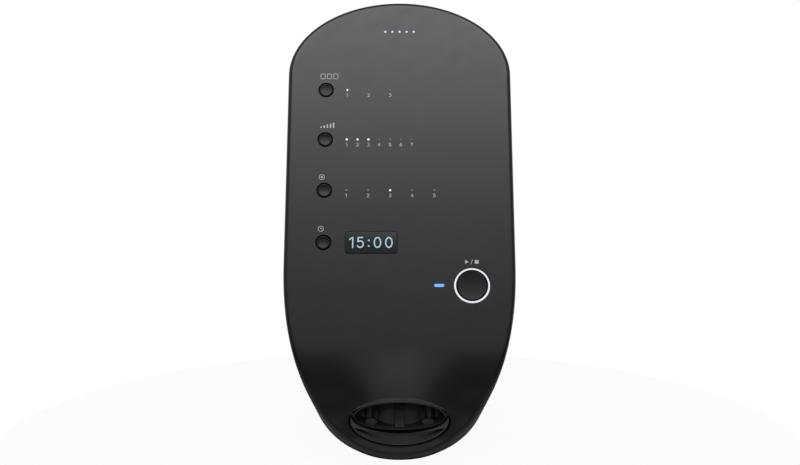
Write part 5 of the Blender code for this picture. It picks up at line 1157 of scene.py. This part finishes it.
def make_stage():
    """A round matt floor that the camera sees as nearly white."""
    shape = bmesh.new()
    shape.faces.new([shape.verts.new(p) for p in circle(FLOOR_RADIUS, 0.0, steps=96)])
    pale = bpy.data.materials.new("floor_pale")
    tree = bare_tree(pale)
    seen = node(tree, "ShaderNodeLightPath").outputs["Is Camera Ray"]
    share = node(tree, "ShaderNodeMath", seen, FLOOR_WHITE_SHARE, operation="MULTIPLY").outputs[0]
    diffuse = node(tree, "ShaderNodeBsdfDiffuse", Color=(FLOOR_GREY, FLOOR_GREY, FLOOR_GREY, 1)).outputs[0]
    white = node(tree, "ShaderNodeEmission", Strength=1.0).outputs[0]
    mixed = node(tree, "ShaderNodeMixShader", share, diffuse, white).outputs[0]
    node(tree, "ShaderNodeOutputMaterial", Surface=mixed)
    add("floor", shape, pale)


def make_world():
    """White for the camera. The object is lit from the front, by height, and by a pale wall behind."""
    world = bpy.data.worlds.new("studio")
    bpy.context.scene.world = world
    tree = bare_tree(world)

    def ramp(value, start, end, low=0.0, high=1.0):
        return span(tree, value, low, high, start, end, interpolation_type="SMOOTHSTEP")

    def times(a, b):
        return node(tree, "ShaderNodeMath", a, b, operation="MULTIPLY").outputs[0]

    def plus(a, b):
        return node(tree, "ShaderNodeMath", a, b, operation="ADD").outputs[0]

    coords = node(tree, "ShaderNodeTexCoord").outputs["Generated"]
    parts = node(tree, "ShaderNodeSeparateXYZ", coords).outputs
    y, z = parts["Y"], parts["Z"]
    curve = node(tree, "ShaderNodeFloatCurve", Value=plus(times(z, 0.5), 0.5))
    line = curve.mapping.curves[0]
    line.points[0].location = (0.0, FRONT_LIGHT[0][1] / FRONT_LIGHT_TOP)
    line.points[1].location = (1.0, FRONT_LIGHT[-1][1] / FRONT_LIGHT_TOP)
    for elevation, strength in FRONT_LIGHT[1:-1]:
        line.points.new((math.sin(RAD(elevation)) + 1) / 2, strength / FRONT_LIGHT_TOP)
    for point in line.points:
        point.handle_type = "VECTOR"
    curve.mapping.update()
    front = times(times(curve.outputs["Value"], FRONT_LIGHT_TOP), ramp(y, -0.1, 0.3, 1.0, 0.0))
    behind = times(ramp(y, -0.1, 0.3), ramp(z, 0.3, 0.8, 0.25, 0.32))
    path = node(tree, "ShaderNodeLightPath").outputs
    shiny = plus(path["Is Glossy Ray"], path["Is Transmission Ray"])
    wall = times(times(ramp(y, 0.05, 0.3), ramp(z, 0.45, 0.75, 1.0, 0.0)), times(shiny, WALL_LIGHT))
    lit = node(tree, "ShaderNodeBackground", Strength=plus(plus(front, behind), wall)).outputs[0]
    white = node(tree, "ShaderNodeBackground", Color=(1, 1, 1, 1), Strength=1.0).outputs[0]
    mixed = node(tree, "ShaderNodeMixShader", path["Is Camera Ray"], lit, white).outputs[0]
    node(tree, "ShaderNodeOutputWorld", Surface=mixed)


def make_soft_boxes():
    for name, (place, aim, width, height, power) in SOFT_BOXES.items():
        lamp = bpy.data.lights.new(name, "AREA")
        lamp.shape = "RECTANGLE"
        lamp.size = width
        lamp.size_y = height
        lamp.energy = power
        made = link(name, lamp)
        made.location = place
        made.rotation_euler = (Vector(aim) - Vector(place)).to_track_quat("-Z", "Y").to_euler()
        made.visible_camera = False


def make_camera():
    camera = bpy.data.cameras.new("camera")
    camera.sensor_width, camera.lens, camera.shift_x = CAMERA_SENSOR, CAMERA_LENS, CAMERA_SHIFT
    camera.clip_start = 0.01
    made = link("camera", camera)
    way = Vector((0, -math.cos(CAMERA_ELEVATION), math.sin(CAMERA_ELEVATION)))
    made.location = Vector(CAMERA_TARGET) + CAMERA_DISTANCE * way
    made.rotation_euler = (RAD(90) - CAMERA_ELEVATION, 0, 0)
    bpy.context.scene.camera = made


make_camera()
make_world()
make_soft_boxes()
make_stage()
make_front_cover()
make_rear_housing()
make_small_buttons()
make_start_button()
make_lights()
make_window()
make_digits()
make_print()
make_socket()
make_insert()
make_door()
make_power_button()
make_feet()

bpy.context.scene.view_settings.view_transform = "Standard"
